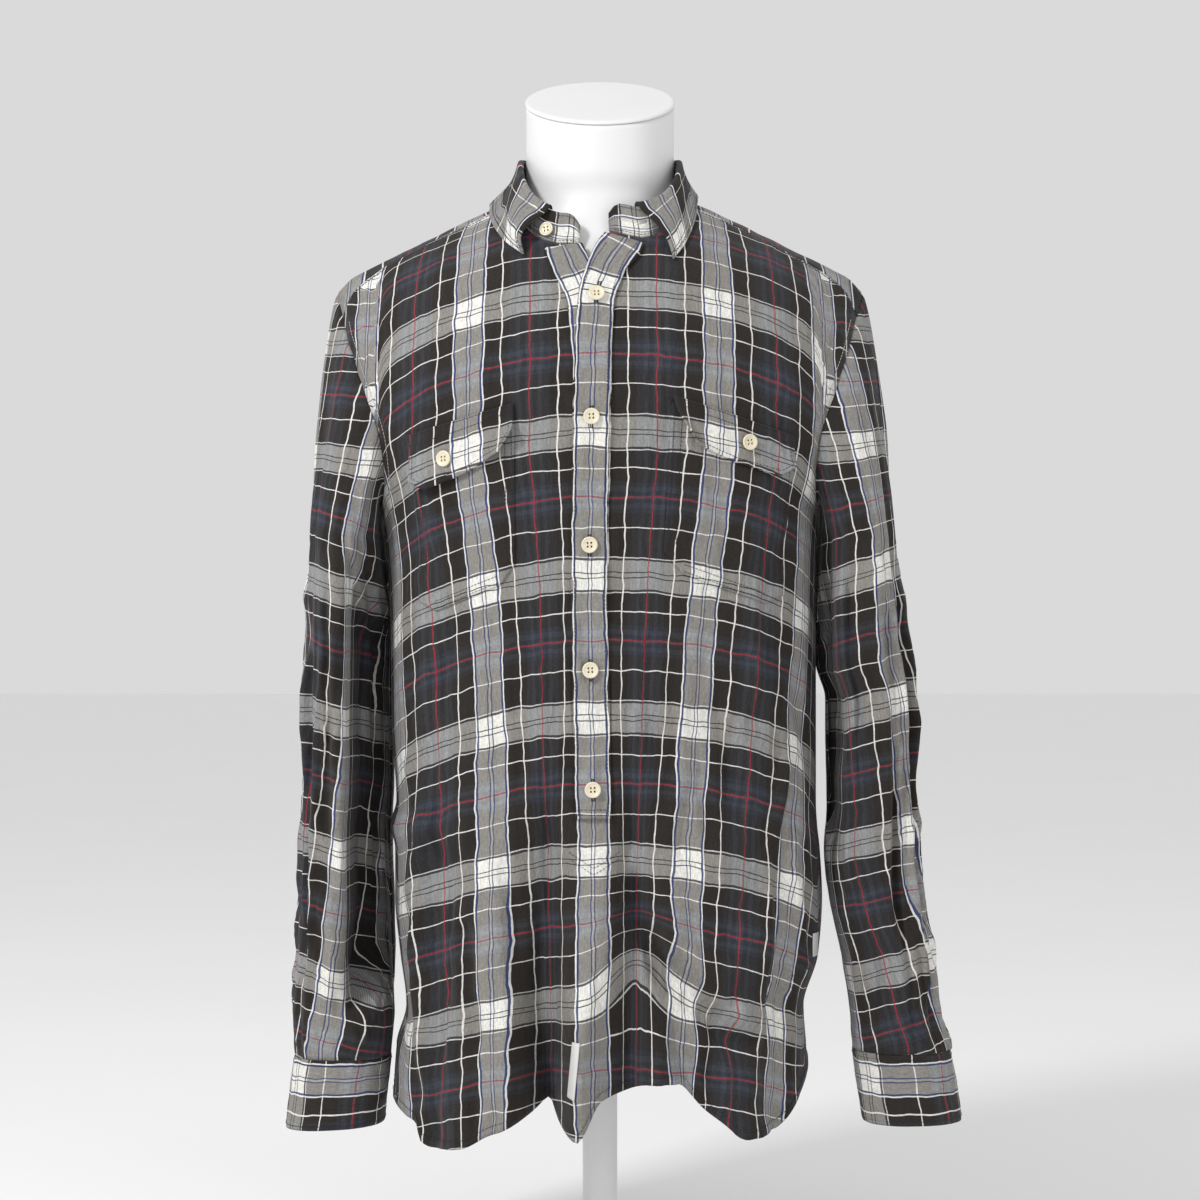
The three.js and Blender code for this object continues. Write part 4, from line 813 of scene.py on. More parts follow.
def sleeve_shape(side):
    sign, table = SIGN[side], SLEEVES[side]
    top_z, end_z = table["z"][0], table["z"][-1]

    def shape(u, v):
        at = u * LOOP_COUNT
        steps = np.linspace(0, LOOP_COUNT, 401)
        line = armhole_loop(sign, steps)
        run = run_of(line)
        share = lerp(np.interp(at, steps, run / run[-1]), u, 0.5)
        seam = armhole_loop(sign, np.where(u > LAST, 0, at))
        w = np.clip((1 - v) / CAP_SHARE, 0, 1)
        cap = lerp(seam, tube(table, sign, top_z, share), w[:, None])
        turn = TURN * share
        over = np.maximum(0, -np.cos(turn))
        under = np.maximum(0, np.cos(turn)) ** 2
        hump = np.sin(math.pi * w**0.55)
        cap[:, 1] -= 9 * np.sin(turn) * np.sin(math.pi * w)
        cap[:, 0] += sign * 5 * over * hump
        cap[:, 2] += 4 * over * hump + 11 * under * np.sin(math.pi * w**0.6) * (1 - w)
        cap[:, 0] += sign * 2.5 * under * np.sin(math.pi * w**0.7)
        z = lerp(top_z, end_z, np.clip((1 - v - CAP_SHARE) / (1 - CAP_SHARE), 0, 1))
        in_tube = (w >= 1)[:, None]
        smooth = np.where(in_tube, tube(table, sign, z, share), cap)
        smooth[:, 1] += SLEEVE_PLEAT[side].deep * pleated(side, share, z, w)
        middle = (tube(table, sign, z, 0 * share) + tube(table, sign, z, 0 * share + 0.5)) / 2
        away = unit(np.where(in_tube, smooth - middle, smooth - middle * [1, 1, 0] - [0, 0, top_z]))
        away[:, 2] = 0
        lift = sleeve_creases(side, share, np.where(w >= 1, z, top_z + (1 - w) * 60))
        lift = lift * ease(w * 1.6 - 0.1)
        return smooth + unit(away) * lift[:, None], sleeve_cloth(side, share, z, w, smooth)

    return shape


SECTION_X = 34  # half width of the section that a sleeve's cloth is measured on
SECTION_Y = {"full": 79, "slim": 40}


def sleeve_cloth(side, share, z, w, points):
    """Plaid on a sleeve: round it from its inner edge, and up its length."""
    stripe, band_z = SLEEVE_PLAID[side]
    table = SLEEVES[side]
    level = np.clip(z, table["z"][-1], table["z"][0])
    half_x = (read(table, "outer", level) - read(table, "inner", level)) / 2
    fine = np.linspace(0, 1, 181)
    around = []
    for half_y in SECTION_Y.values():
        px, py = -squared(np.cos(TURN * fine)) * SECTION_X, squared(np.sin(TURN * fine)) * half_y
        around.append(np.interp(share, fine, run_of(np.stack([px, py], -1))))
    spare = SECTION_Y["full"] - read(table, "depth", level)
    across = lerp(*around, np.clip(spare / (SECTION_Y["full"] - SECTION_Y["slim"]), 0, 1))
    across = across * (1 + (half_x - SECTION_X) / 160)
    across = across - SLEEVE_PLEAT[side].hidden * pleated(side, share, z, w)
    above = np.maximum(0, points[:, 2] - table["z"][0])
    up = (np.where(w >= 1, z, table["z"][0] + above * 1.06) - band_z) * 1.06
    sink = 12 * np.cos(TURN * share) * ease(w)
    return across - stripe, up + sink


SLEEVE_X = 212  # middle of a sleeve


def from_sleeve(side):
    def outward(p):
        return Vector((p[0] - SIGN[side] * SLEEVE_X, p[1] * 0.4, 0.1 * (p[2] - 600) if p[2] > 700 else 0))

    return outward


for side in SIGN:
    sheet("sleeve_panel_" + side, 132, 150, sleeve_shape(side), from_sleeve(side), "flannel",
          "sleeve_" + side, closed=True)

# %% [markdown]
# ## Cuffs
# A cuff is a stiff double band, cut across the grain so that its light stripe runs round the
# wrist. Its opening and its button are on the hidden outer side, and its outer edge hangs a
# little lower or higher than the inner one.

# %% Cuffs
WRIST_Y = -17
CUFFS = {
    "left": {"z": [175.65, 150, 121], "inner": [168, 170.5, 173], "outer": [245, 248, 252]},
    "right": {"z": [180.65, 150, 124], "inner": [203, 207, 211], "outer": [281, 286, 290]},
}
for table in CUFFS.values():
    table.update({"y": [WRIST_Y] * 3, "depth": [39, 39.5, 40]})
CUFF_CLOTH = 1.6
CUFF_TILT = {"left": 8, "right": -3}  # how much lower the outer edge hangs
CUFF_WIDE = 77
CUFF_HALF_X, CUFF_HALF_Y = 39, 39.5
CUFF_PLAID = {"left": (96, 160), "right": (26, 160)}
CUFF_ROUND = 240


def cuff_shape(side):
    table = CUFFS[side]
    top_z, end_z = table["z"][0], table["z"][-1]

    def shape(u, v):
        z = lerp(end_z, top_z, v)
        points = tube(table, SIGN[side], z, u)
        away = unit((points - points.mean(0)) * [1, 1, 0])
        rim = np.minimum(v, 1 - v) * (top_z - end_z)
        bulge = 0.8 * rumple(u * 9, z / 30, 21) + 0.5 * ease(rim / 2.5) + 0.35 * rumple(u * 40, z / 8, 22)
        points = points + away * bulge[:, None]
        lower = np.abs(points[:, 0]) - table["inner"][1]
        points[:, 2] -= CUFF_TILT[side] * (lower / CUFF_WIDE - 0.5) * 0.5 * (1 - v)
        around, level = CUFF_PLAID[side]
        return points, (z - level + 0.01 * u, u * CUFF_ROUND - around)

    return shape


for side in SIGN:
    sheet("cuff_band_" + side, 96, 24, cuff_shape(side), from_sleeve(side), "flannel_cross",
          "cuff_" + side, closed=True, thick=CUFF_CLOTH)

# %% [markdown]
# ## Half placket and pockets
# The placket's two strips, the pockets and their flaps are sewn onto the front, so they are grids
# laid on the front's own surface and moved out by the layers below them. Their folds come with the
# surface. Flaps are loose at the lower edge, so they curl away a little.

# %% Strips of the placket
LAYER = 1.25
SECOND = 2.1  # where a second layer lies, in layers
PLACKET_HALF = 14
PLACKETS = {
    "under": {"z": [374, 560, 700, 770, 802, 816], "x": [-5, -8, -7, -11, -23, -29], "layer": 1},
    "top": {"z": [372, 560, 700, 770, 800, 821], "x": [-5, -8, -6, -3, 6, 20], "layer": SECOND},
}


def strip_shape(table):
    low, high = table["z"][0], table["z"][-1]

    def shape(u, v):
        z = lerp(low, high, v)
        lean = (read(table, "x", z + 1) - read(table, "x", z - 1)) / 2
        side = 2 * u - 1
        aside = side * PLACKET_HALF
        puff = 0.5 * ease((1 - np.abs(side)) * 5) + 0.25 * rumple(z / 13, side * 2, 61)
        x = read(table, "x", z) + aside
        points, normal = on_body("front", x, z - aside * lean * 0.8, LAYER * table["layer"])
        return points + normal * puff[:, None], (aside, z - PLAID_BAND_Z)

    return shape


def forwards(_):
    return Vector((0, -1, 0))


for name, table in PLACKETS.items():
    sheet("placket_%s_strip" % name, 14, 150, strip_shape(table), forwards, "flannel", "placket_" + name)

# %% Pockets and flaps
# Corners as x and z: top left, top right, low left, low right
POCKETS = {
    "left": [(-147, 652), (-66, 687), (-139, 527), (-65, 556)],
    "right": [(55, 692), (150, 660), (49, 565), (143, 532)],
}
FLAPS = {
    "left": [(-150, 668), (-66, 691), (-140, 622), (-66, 660)],
    "right": [(56, 697), (150, 668), (63, 664), (147, 634)],
}
POCKET = {"wide": 80, "tall": 120, "chamfer": 12}
FLAP = {"wide": 86, "tall": 36, "chamfer": 11, "thick": 1.3}
FLAP_CURL = {"left": 8, "right": 7}
FLAP_LIFT = {"left": 0, "right": 6}  # how far its left end stands off the pocket
FLAP_SEED = {"left": 81, "right": 85}


def corner_mix(corners, u, v):
    """A point between four corners, as x and z."""
    return [lerp(lerp(c, d, u), lerp(a, b, u), v) for a, b, c, d in zip(*corners)]


def in_corner(size, u):
    """From 0 to 1 over the cut corners at both sides of a pocket or flap."""
    cut = size["chamfer"] / size["wide"]
    return np.maximum(0, cut - np.minimum(u, 1 - u)) / cut


def rim_of(size, u, v):
    return np.minimum(np.minimum(u, 1 - u) * size["wide"], v * size["tall"])


def pocket_shape(side):
    def shape(u, v):
        x, z = corner_mix(POCKETS[side], u, v)
        z = z + in_corner(POCKET, u) * POCKET["chamfer"] * (1 - v)
        rim = rim_of(POCKET, u, v)
        puff = 0.5 * ease(rim / 5) + 1.2 * rumple(x / 30, z / 50, 71) * ease(rim / 15)
        points, normal = on_body("front", x, z, LAYER)
        return points + normal * np.maximum(puff, 0.1)[:, None], body_cloth("front", x, z)

    return shape


def flap_shape(side):
    def shape(u, v):
        x, z = corner_mix(FLAPS[side], u, v)
        z = z + in_corner(FLAP, u) * FLAP["chamfer"] * (1 - v) ** 1.5 - 4 * (1 - np.abs(2 * u - 1)) * (1 - v)
        curl = FLAP_CURL[side] * (1 - v) ** 2 * (0.35 + np.abs(2 * u - 1) ** 2)
        wave = 1.1 * rumple(u * 4, v * 1.6, FLAP_SEED[side]) * (1 - v)
        edge = 0.5 * ease((rim_of(FLAP, u, v) - 0.4) / 3)
        edge = edge + FLAP_LIFT[side] * ease((0.14 - u) / 0.14) * (1.15 - v)
        points, normal = on_body("front", x, z, LAYER * SECOND)
        points = points + normal * (curl + edge + np.maximum(wave, -0.4))[:, None]
        return points, body_cloth("front", x, z)

    return shape


for side in SIGN:
    sheet("pocket_bag_" + side, 44, 60, pocket_shape(side), forwards, "flannel", "pocket_" + side)
    sheet("pocket_flap_" + side, 48, 24, flap_shape(side), forwards, "flannel", "flap_" + side,
          thick=FLAP["thick"])

# %% [markdown]
# ## Collar
# The stand is a low band sewn to the neckline, with a rounded tab at each front end. The leaf is
# sewn to its top edge, rolls over it and hangs outside, down to two points. Both are double cloth
# with a stiffening between, so they bend in clean curves and hardly crumple.

# %% Neck seam and stand
STAND_COUNT = 42  # counts the stand from its left front end round to its right one
STAND_HEIGHT = {"back": 37, "side": 32, "front": 25}
COLLAR_CLOTH = 1.5
FORM_NECK = {"radius": 59.7, "y": -5}


def stand_foot(share):
    """The seam of the stand, from its left front end round the back, in three dimensions."""
    at = share * STAND_COUNT
    mirrored = at > STAND_COUNT / 2
    place = np.where(mirrored, STAND_COUNT - at, at)
    sign = np.where(mirrored, 1, -1)
    corner = np.where(mirrored, NECK_CORNER[1], NECK_CORNER[-1])
    angle = sign * lerp(corner, SLIT_ANGLE, np.clip((6 - place) / 6, 0, 5 / 6))
    round_back = lerp(NECK_CORNER[-1], TURN - NECK_CORNER[1], np.clip((at - 6) / 30, 0, 1))
    x, y = neckline(np.where(place < 6, angle, -round_back))
    point = np.stack([x, y, shoulder_z(x, y)], -1)
    end_x, end_z = (np.where(mirrored, b, a + 0.0) for a, b in zip(SLIT["left"], SLIT["right"]))
    end = np.stack([end_x, -depth("front", end_x, end_z), end_z], -1)
    return lerp(end, point, np.clip(place, 0, 1)[..., None])


def from_neck(points):
    return unit((points - [0, FORM_NECK["y"], 0]) * [1, 1, 0])


def stand_height(share):
    back = (1 - np.cos(TURN * share)) / 2
    low = lerp(STAND_HEIGHT["front"], STAND_HEIGHT["side"], ease(back * 2))
    high = lerp(STAND_HEIGHT["side"], STAND_HEIGHT["back"], ease(back * 2 - 1))
    return np.where(back < 0.5, low, high), back


def stand_place(share, up):
    """A point of the stand: up runs from 0 at its seam to 1 at its top."""
    foot = stand_foot(share)
    height, back = stand_height(share)
    point = foot + from_neck(foot) * (-0.2 - lerp(6, 3.2, back) * up)[..., None]
    point[..., 2] += 0.35 + (height - 0.35) * up
    return point


NECK_STEPS = np.linspace(0, 1, 600)
NECK_RUN = run_of(stand_foot(NECK_STEPS))
STAND_END_ROUND = 14


def stand_shape(u, v):
    run = np.interp(u, NECK_STEPS, NECK_RUN)
    from_end = np.minimum(run, NECK_RUN[-1] - run)
    drop = 1 - np.clip(from_end / STAND_END_ROUND, 0, 1)
    points = stand_place(u, v * (1 - 0.42 * drop**2.5))
    rim = np.minimum(v * 25, from_end)
    puff = 0.4 * ease(rim / 2.5) + 0.35 * rumple(run / 18, v * 2, 41)
    return points + from_neck(points) * puff[:, None], (v * 30 - 6, run - NECK_RUN[-1] / 2 + 8)


def out_of_neck(p):
    return Vector((p[0], p[1] - FORM_NECK["y"], 0))


sheet("collar_stand_band", 220, 16, stand_shape, out_of_neck, "flannel_cross", "collar_stand",
      thick=COLLAR_CLOTH)

# %% Collar leaf
LEAF = {"from_x": -38, "to_x": 28}
COLLAR = {
    "share": [0, 0.08, 0.17, 0.26, 0.36, 0.44, 0.5, 0.56, 0.64, 0.74, 0.83, 0.92, 1],
    "x": [-60, -74, -85, -89, -78, -46, 0, 45, 75, 79, 76, 67, 57],
    "y": [-90, -73, -44, -14, 40, 72, 84, 73, 40, -14, -46, -76, -90],
    "z": [809, 819, 838, 858, 857, 853, 850, 855, 862, 864, 845, 818, 804],
}
Roll = namedtuple("Roll", "out up")
LEAF_ROLL = [Roll(-1.8, 0.35), Roll(-1.6, 2.6), Roll(0.7, 4.1), Roll(3.1, 2.4)]
Hang = namedtuple("Hang", "down out")
LEAF_HANG = [Hang(0.06, 3.4), Hang(0.3, 3), Hang(0.62, 1.8), Hang(1, 0)]
LEAF_CLEAR = 3.0
LEAF_OPEN = {"left": 10, "right": 6}  # how far the front edges of the leaf are bowed open


def clear_of_body(points, least):
    """Move points out until they lie a least distance off the body's surface."""
    p = points.copy()
    for _ in range(6):
        x, y, z = p.T
        full = np.where(y < 0, depth("front", x, CHEST_Z + 0 * x), depth("back", x, CHEST_Z + 0 * x))
        in_plan = np.abs(y) < full - 1
        safe_y = np.clip(y, -full * 0.995, full * 0.995)
        over, over_normal = shoulder_place(x, safe_y)
        front_at, front_normal = body_place("front", x, z, smooth=True)
        near = np.where(in_plan[:, None], over, front_at)
        normal = np.where(in_plan[:, None], over_normal, front_normal)
        gap = ((p - near) * normal).sum(1)
        p += normal * np.maximum(0, least - gap)[:, None]
    return p


def stand_share_at(x_wanted, first):
    share = np.linspace(0, 1, 2001)
    x = stand_place(share, np.ones_like(share))[:, 0]
    inside = np.flatnonzero(x < x_wanted) if first else np.flatnonzero(x > x_wanted)
    return float(share[inside[0]] if first else share[inside[-1]])


LEAF_SHARE = (stand_share_at(LEAF["from_x"], True), stand_share_at(LEAF["to_x"], False))


def leaf_rows(u):
    """Control rows of the leaf, from the stand's top over the roll to the outer edge."""
    top_edge = stand_place(lerp(LEAF_SHARE[0], LEAF_SHARE[1], u), np.ones_like(u))
    away = from_neck(top_edge)
    rows = []
    for r in LEAF_ROLL:
        row = top_edge + away * r.out
        row[:, 2] += r.up
        rows.append(row)
    edge = np.stack([read(COLLAR, k, u, key="share") for k in "xyz"], -1)
    open_left = LEAF_OPEN["left"] * ease((0.13 - u) / 0.13)
    open_right = LEAF_OPEN["right"] * ease((u - 0.87) / 0.13)
    for h in LEAF_HANG:
        row = lerp(top_edge, edge, h.down) + away * h.out
        bow = 4 * h.down * (1 - h.down)
        row[:, 0] += bow * (open_right - open_left)
        row[:, 1] -= bow * (open_right + open_left) * 0.5
        rows.append(clear_of_body(row, LEAF_CLEAR))
    return np.stack(rows)


def smooth_rows(rows, at):
    """A smooth line through control rows; at is counted in rows."""
    last = len(rows) - 1
    k = np.clip(np.floor(at).astype(int), 0, last - 1)
    t = (at - k)[:, None]
    here = np.arange(rows.shape[1])
    p0, p1 = rows[np.maximum(k - 1, 0), here], rows[k, here]
    p2, p3 = rows[k + 1, here], rows[np.minimum(k + 2, last), here]
    m1, m2 = (p2 - p0) / 2, (p3 - p1) / 2
    return (
        (2 * t**3 - 3 * t**2 + 1) * p1 + (t**3 - 2 * t**2 + t) * m1
        + (3 * t**2 - 2 * t**3) * p2 + (t**3 - t**2) * m2
    )


ROLL_SHARE = 0.3  # share of the leaf's rows in its roll
LEAF_LONG = 400


def leaf_shape(u, v):
    down = 1 - v
    hang_at = 4 + (down - ROLL_SHARE) / (1 - ROLL_SHARE) * 3
    rows = leaf_rows(u)
    points = smooth_rows(rows, np.where(down < ROLL_SHARE, down / ROLL_SHARE * 4, hang_at))
    length = np.linalg.norm(rows[-1] - rows[3], axis=1)
    hang = np.clip((down - 0.25) / 0.75, 0, 1)
    from_end = np.minimum(u, 1 - u)
    rim = np.minimum((1 - hang) * length, from_end * 420)
    puff = 0.45 * ease(rim / 3) + 0.5 * rumple(u * 14, hang * 2, 43) * hang
    tip = ease((0.14 - from_end) / 0.14) * 6
    across = np.where(u < 0.5, -1, 1) * (182 - np.abs(u - 0.5) * LEAF_LONG)
    return points + from_neck(points) * puff[:, None], (across, length * (1 - hang) - 11 + tip)


sheet("collar_leaf", 200, 36, leaf_shape, out_of_neck, "flannel", "collar_fall", thick=COLLAR_CLOTH)

# %% [markdown]
# ## Strips over the cuff openings
# A short slit runs up each sleeve from its cuff, with a narrow strip sewn over it. It is on the
# hidden outer back side, in the same place as its solid.

# %% Sleeve plackets
LAP = {"share": 0.705, "half": 0.034, "low_z": 192, "high_z": 322}


def lap_shape(side):
    sleeve = sleeve_shape(side)
    table = SLEEVES[side]
    top_z, end_z = table["z"][0], table["z"][-1]

    def shape(u, v):
        z = lerp(LAP["low_z"], LAP["high_z"], v)
        down = (top_z - z) / (top_z - end_z)
        at = LAP["share"] + (2 * u - 1) * LAP["half"]
        points, cloth = sleeve(at, 1 - (CAP_SHARE + down * (1 - CAP_SHARE)))
        away = unit((points - [SIGN[side] * SLEEVE_X, -10, 0]) * [1, 1, 0])
        rim = np.minimum(np.minimum(u, 1 - u) * 16, np.minimum(v, 1 - v) * 130)
        return points + away * (1.4 + 0.5 * ease(rim / 2.5))[:, None], (cloth[0] + 30, cloth[1])

    return shape


for side in SIGN:
    sheet("sleeve_lap_" + side, 10, 60, lap_shape(side), from_sleeve(side), "flannel",
          "sleeve_placket_" + side)

# %% [markdown]
# ## Dress form
# The form is a hollow white moulding with no arms or head. Only its neck and the V of the open
# collar show, but it is made whole. Its rings follow the cloth a few millimetres inside it, and a
# slanted cap with a soft rim closes the neck. A slim pole and a round base carry it.

# %% Form's torso
def inside_form(x, y, z):
    reach = np.where(y < 0, form_depth("front", x, z), form_depth("back", x, z))
    below_top = z < ridge_z(x) - FORM["ease"] / 0.9
    return (np.abs(y) < reach) & below_top & (np.abs(x) <= FORM["end_x"])


def form_radius(angle, z):
    low, high = 0 * angle, 0 * angle + 260
    for _ in range(26):
        r = (low + high) / 2
        inside = inside_form(np.sin(angle) * r, FORM_NECK["y"] - np.cos(angle) * r, z)
        low, high = np.where(inside, r, low), np.where(inside, high, r)
    soft = 1 + 15 * np.maximum(0, np.cos(angle)) ** 2
    neck = FORM_NECK["radius"]
    blended = (low + neck + np.hypot(low - neck, soft) - soft * 0.55) / 2
    return np.where(z > 780, blended, low)


NECK_FROM = 0.85  # share of the form's rows below its neck


def form_shape(u, v):
    angle = TURN * u
    z = lerp(FORM["bottom_z"], FORM["shoulder_z"], np.clip(v / NECK_FROM, 0, 1) ** 0.8)
    high = np.clip((v - NECK_FROM) / (1 - NECK_FROM), 0, 1)
    rim_y = FORM_NECK["y"] - FORM_NECK["radius"] * np.cos(angle)
    rim_z = FORM["top_z"] + FORM["slope"] * (rim_y - FORM_NECK["y"]) - FORM["cap"]
    radius = lerp(form_radius(angle, z), FORM_NECK["radius"], ease(high * 3))
    points = [radius * np.sin(angle), FORM_NECK["y"] - radius * np.cos(angle), lerp(z, rim_z, high)]
    return np.stack(points, -1), (u * 400, v * 800)


mesh, u, v = grid_mesh("form_body", 96, 110)
fill(mesh, *form_shape(u, v))
face_outwards(mesh, from_middle, closed=True)
bm = bmesh.new()
bm.from_mesh(mesh)
bmesh.ops.holes_fill(bm, edges=[e for e in bm.edges if e.is_boundary], sides=0)
bmesh.ops.recalc_face_normals(bm, faces=bm.faces)
bm.to_mesh(mesh)
bm.free()
form = add_piece("form_body", mesh, "form_torso", "form")


# %% Turned pieces: neck cap, pole, base
def in_fixed_order(bm):
    """The same mesh with corners and faces sorted, because spin makes them in another order each run."""
    corners = sorted(bm.verts, key=lambda v: v.co[:])
    for k, vert in enumerate(corners):
        vert.index = k
    rings = []
    for face in bm.faces:
        ring = [v.index for v in face.verts]
        first = ring.index(min(ring))
        rings.append(ring[first:] + ring[:first])
    ordered = bmesh.new()
    verts = [ordered.verts.new(v.co) for v in corners]
    for ring in sorted(rings):
        ordered.faces.new([verts[k] for k in ring]).smooth = True
    bm.free()
    return ordered


def turned(profile, steps, axis_y=0):
    """A round piece from its profile of radius and height, spun about an upright axis."""
    bm = bmesh.new()
    verts = [bm.verts.new((r * MM, axis_y * MM, z * MM)) for r, z in profile]
    edges = [bm.edges.new(pair) for pair in zip(verts, verts[1:])]
    bmesh.ops.spin(
        bm, geom=verts + edges, cent=(0, axis_y * MM, 0), axis=(0, 0, 1), angle=TURN, steps=steps,
        use_merge=True, use_normal_flip=False, use_duplicate=False,
    )
    bmesh.ops.remove_doubles(bm, verts=bm.verts, dist=1e-7)
    bmesh.ops.recalc_face_normals(bm, faces=bm.faces)
    return in_fixed_order(bm)


def rounded(corners, radius, segments=5):
    """A profile with its inner corners rounded by short arcs."""
    line = [corners[0]]
    for before, at, after in zip(corners, corners[1:], corners[2:]):
        at = Vector(at)
        ways = [Vector(end) - at for end in (before, after)]
        r = min([radius] + [way.length * 0.45 for way in ways])
        start, stop = (at + way.normalized() * r for way in ways)
        for k in range(segments + 1):
            t = k / segments
            line.append(tuple(start.lerp(at, t).lerp(at.lerp(stop, t), t)))
    return line + [corners[-1]]


rim = FORM_NECK["radius"]
cap_corners = [(0, -3.7), (rim - 0.5, -3.7), (rim + 0.8, -2.8), (rim + 0.8, -1.2), (rim - 1, 0), (0, 0)]
bm = turned(rounded(cap_corners, 1.6), 96, FORM_NECK["y"])
for vert in bm.verts:
    vert.co.z += (FORM["top_z"] + FORM["slope"] * (vert.co.y / MM - FORM_NECK["y"])) * MM
add_piece("form_neck_cap", mesh_from(bm, "form_neck_cap"), "form_cap", "form")

BASE = {"radius": 138, "thick": 14}
wide, thick = BASE["radius"], BASE["thick"]
base_profile = rounded([(0, 0), (wide, 0), (wide, 7), (wide - 4, 12), (wide - 12, thick), (0, thick)], 3)
foot_z, pole_top = thick + 0.3, FORM["bottom_z"] - 0.3
pole_profile = rounded([(0, foot_z), (22, foot_z), (22, 20), (14, 24), (14, pole_top), (0, pole_top)], 2)
for name, profile, node in (
    ("base_plate", base_profile, "stand_base"), ("base_pole", pole_profile, "stand_pole"),
):
    add_piece(name, mesh_from(turned(profile, 96), name), node, "stand")
print("form box:", [round(c, 3) for c in form.bound_box[6]])

# %% [markdown]
# ## Buttons
# Each button is a cream disc with a raised rim, a dished middle and four holes, held by thread in
# two short bars. One button is turned and drilled, and copies are laid on the cloth where the
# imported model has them: their boxes give the places, and the cloth gives the tilt.

# %% One master button
BUTTON = {"thick": 2.6, "hole": 0.75, "hole_at": 1.45, "thread_to": 0.85}
BUTTON_RADIUS = {"large": 6.3, "small": 5.7}


def button_bmesh(radius):
    t = BUTTON["thick"]
    corners = [
        (0, 0), (radius * 0.8, 0), (radius, t * 0.4), (radius, t * 0.78), (radius * 0.88, t),
        (radius * 0.72, t * 0.82), (radius * 0.6, t * 0.68), (0, t * 0.64),
    ]
    return turned(rounded(corners, 0.5, 3), 48)


def drilled_button(radius):
    """A turned button with its four holes cut by a Boolean, as one mesh."""
    body = in_scene("button", mesh_from(button_bmesh(radius), "button"))
    bm = bmesh.new()
    hole, away = BUTTON["hole"] * MM, BUTTON["hole_at"] * MM
    for sx in (-1, 1):
        for sy in (-1, 1):
            bmesh.ops.create_cone(
                bm, cap_ends=True, segments=14, radius1=hole, radius2=hole, depth=8 * MM,
                matrix=Matrix.Translation((sx * away, sy * away, MM)),
            )
    drill = in_scene("drill", mesh_from(bm, "drill"))
    cut = body.modifiers.new("holes", "BOOLEAN")
    cut.object = drill
    cut.operation = "DIFFERENCE"
    cut.solver = "EXACT"
    bpy.context.view_layer.update()
    made = bpy.data.meshes.new_from_object(body.evaluated_get(bpy.context.evaluated_depsgraph_get()))
    for o in (body, drill):
        bpy.data.objects.remove(o)
    for face in made.polygons:
        face.use_smooth = True
    return made


master = {size: drilled_button(radius) for size, radius in BUTTON_RADIUS.items()}
print("button faces:", len(master["large"].polygons))

# %% Placing the buttons
PLACKET_BUTTONS = ["button_placket_%d" % (k + 1) for k in range(5)]
SMALL_BUTTONS = ["button_collar", "button_cuff_left", "button_cuff_right"]
BUTTON_NODES = PLACKET_BUTTONS + ["button_collar", "button_pocket_left", "button_pocket_right"]
BUTTON_NODES += ["button_cuff_left", "button_cuff_right"]
BUTTON_TILT = {"button_collar": 0.2, "button_pocket_left": 0.1}


def node_middle(node):
    low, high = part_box(node)
    return (Vector(low) + Vector(high)) / 2 / MM


def stand_step(shares, ups):
    """The way from one place on the stand to another."""
    low, high = (stand_place(np.array([share]), np.array([up]))[0] for share, up in zip(shares, ups))
    return high - low


def button_normal(node, at):
    if node == "button_collar":
        share = stand_share_at(at.x, True)
        along = stand_step((share - 0.004, share + 0.004), (0.4, 0.4))
        up = stand_step((share, share), (0.1, 0.7))
        normal = Vector(np.cross(along, up)).normalized()
        return normal if normal.dot(out_of_neck(at)) > 0 else -normal
    if "cuff" in node:
        table = CUFFS["left" if "left" in node else "right"]
        middle = (table["inner"][1] + table["outer"][1]) / 2 * (1 if at.x > 0 else -1)
        return Vector(((at.x - middle) / CUFF_HALF_X**2, (at.y - WRIST_Y) / CUFF_HALF_Y**2, 0)).normalized()
    _, normal = body_place("front", np.array([at.x]), np.array([at.z]), smooth=True)
    return Vector(normal[0])


button_places = {}
for node in BUTTON_NODES:
    at = node_middle(node)
    normal = button_normal(node, at)
    turn = normal.to_track_quat("Z", "Y").to_matrix().to_4x4()
    twist = Matrix.Rotation(BUTTON_TILT.get(node, 0.04 * len(node) % 0.3), 4, "Z")
    place = Matrix.Translation((at - normal * (BUTTON["thick"] / 2)) * MM) @ turn @ twist
    mesh = master["small" if node in SMALL_BUTTONS else "large"].copy()
    mesh.name = node + "_disc"
    mesh.transform(place)
    add_piece(node + "_disc", mesh, node, "button")
    button_places[node] = place
print("buttons placed:", len(button_places))

# %% [markdown]
# ## Thread
# Seams are held by lockstitch: short dashes of thread, each with a dip at its ends. A row of
# stitches is laid along a line on the cloth, and all the stitches of one colour are one mesh.
# Button threads and buttonholes are the same small stitches, closer together.

# %% Stitch rows
STITCH = {"pitch": 3.0, "share": 0.78, "wide": 0.42}
thread_meshes = {"thread_dark": bmesh.new(), "thread_light": bmesh.new(), "thread_cream": bmesh.new()}


def one_stitch(bm, a, b, normal, wide=STITCH["wide"]):
    """One dash of thread from a to b, lying on the cloth."""
    way = Vector(b) - Vector(a)
    up = Vector(normal).normalized()
    side = up.cross(way.normalized())
    turn = Matrix((way.normalized(), side, up)).transposed().to_4x4()
    middle = (Vector(a) + Vector(b)) / 2 + up * wide * 0.35
    size = Matrix.Diagonal((way.length * MM, wide * MM, wide * 0.9 * MM, 1))
    made = bmesh.ops.create_cube(bm, size=1, matrix=Matrix.Translation(middle * MM) @ turn @ size)
    for vert in made["verts"]:
        if (vert.co / MM - middle).dot(up) > 0:
            vert.co = vert.co.lerp(middle * MM, 0.22)


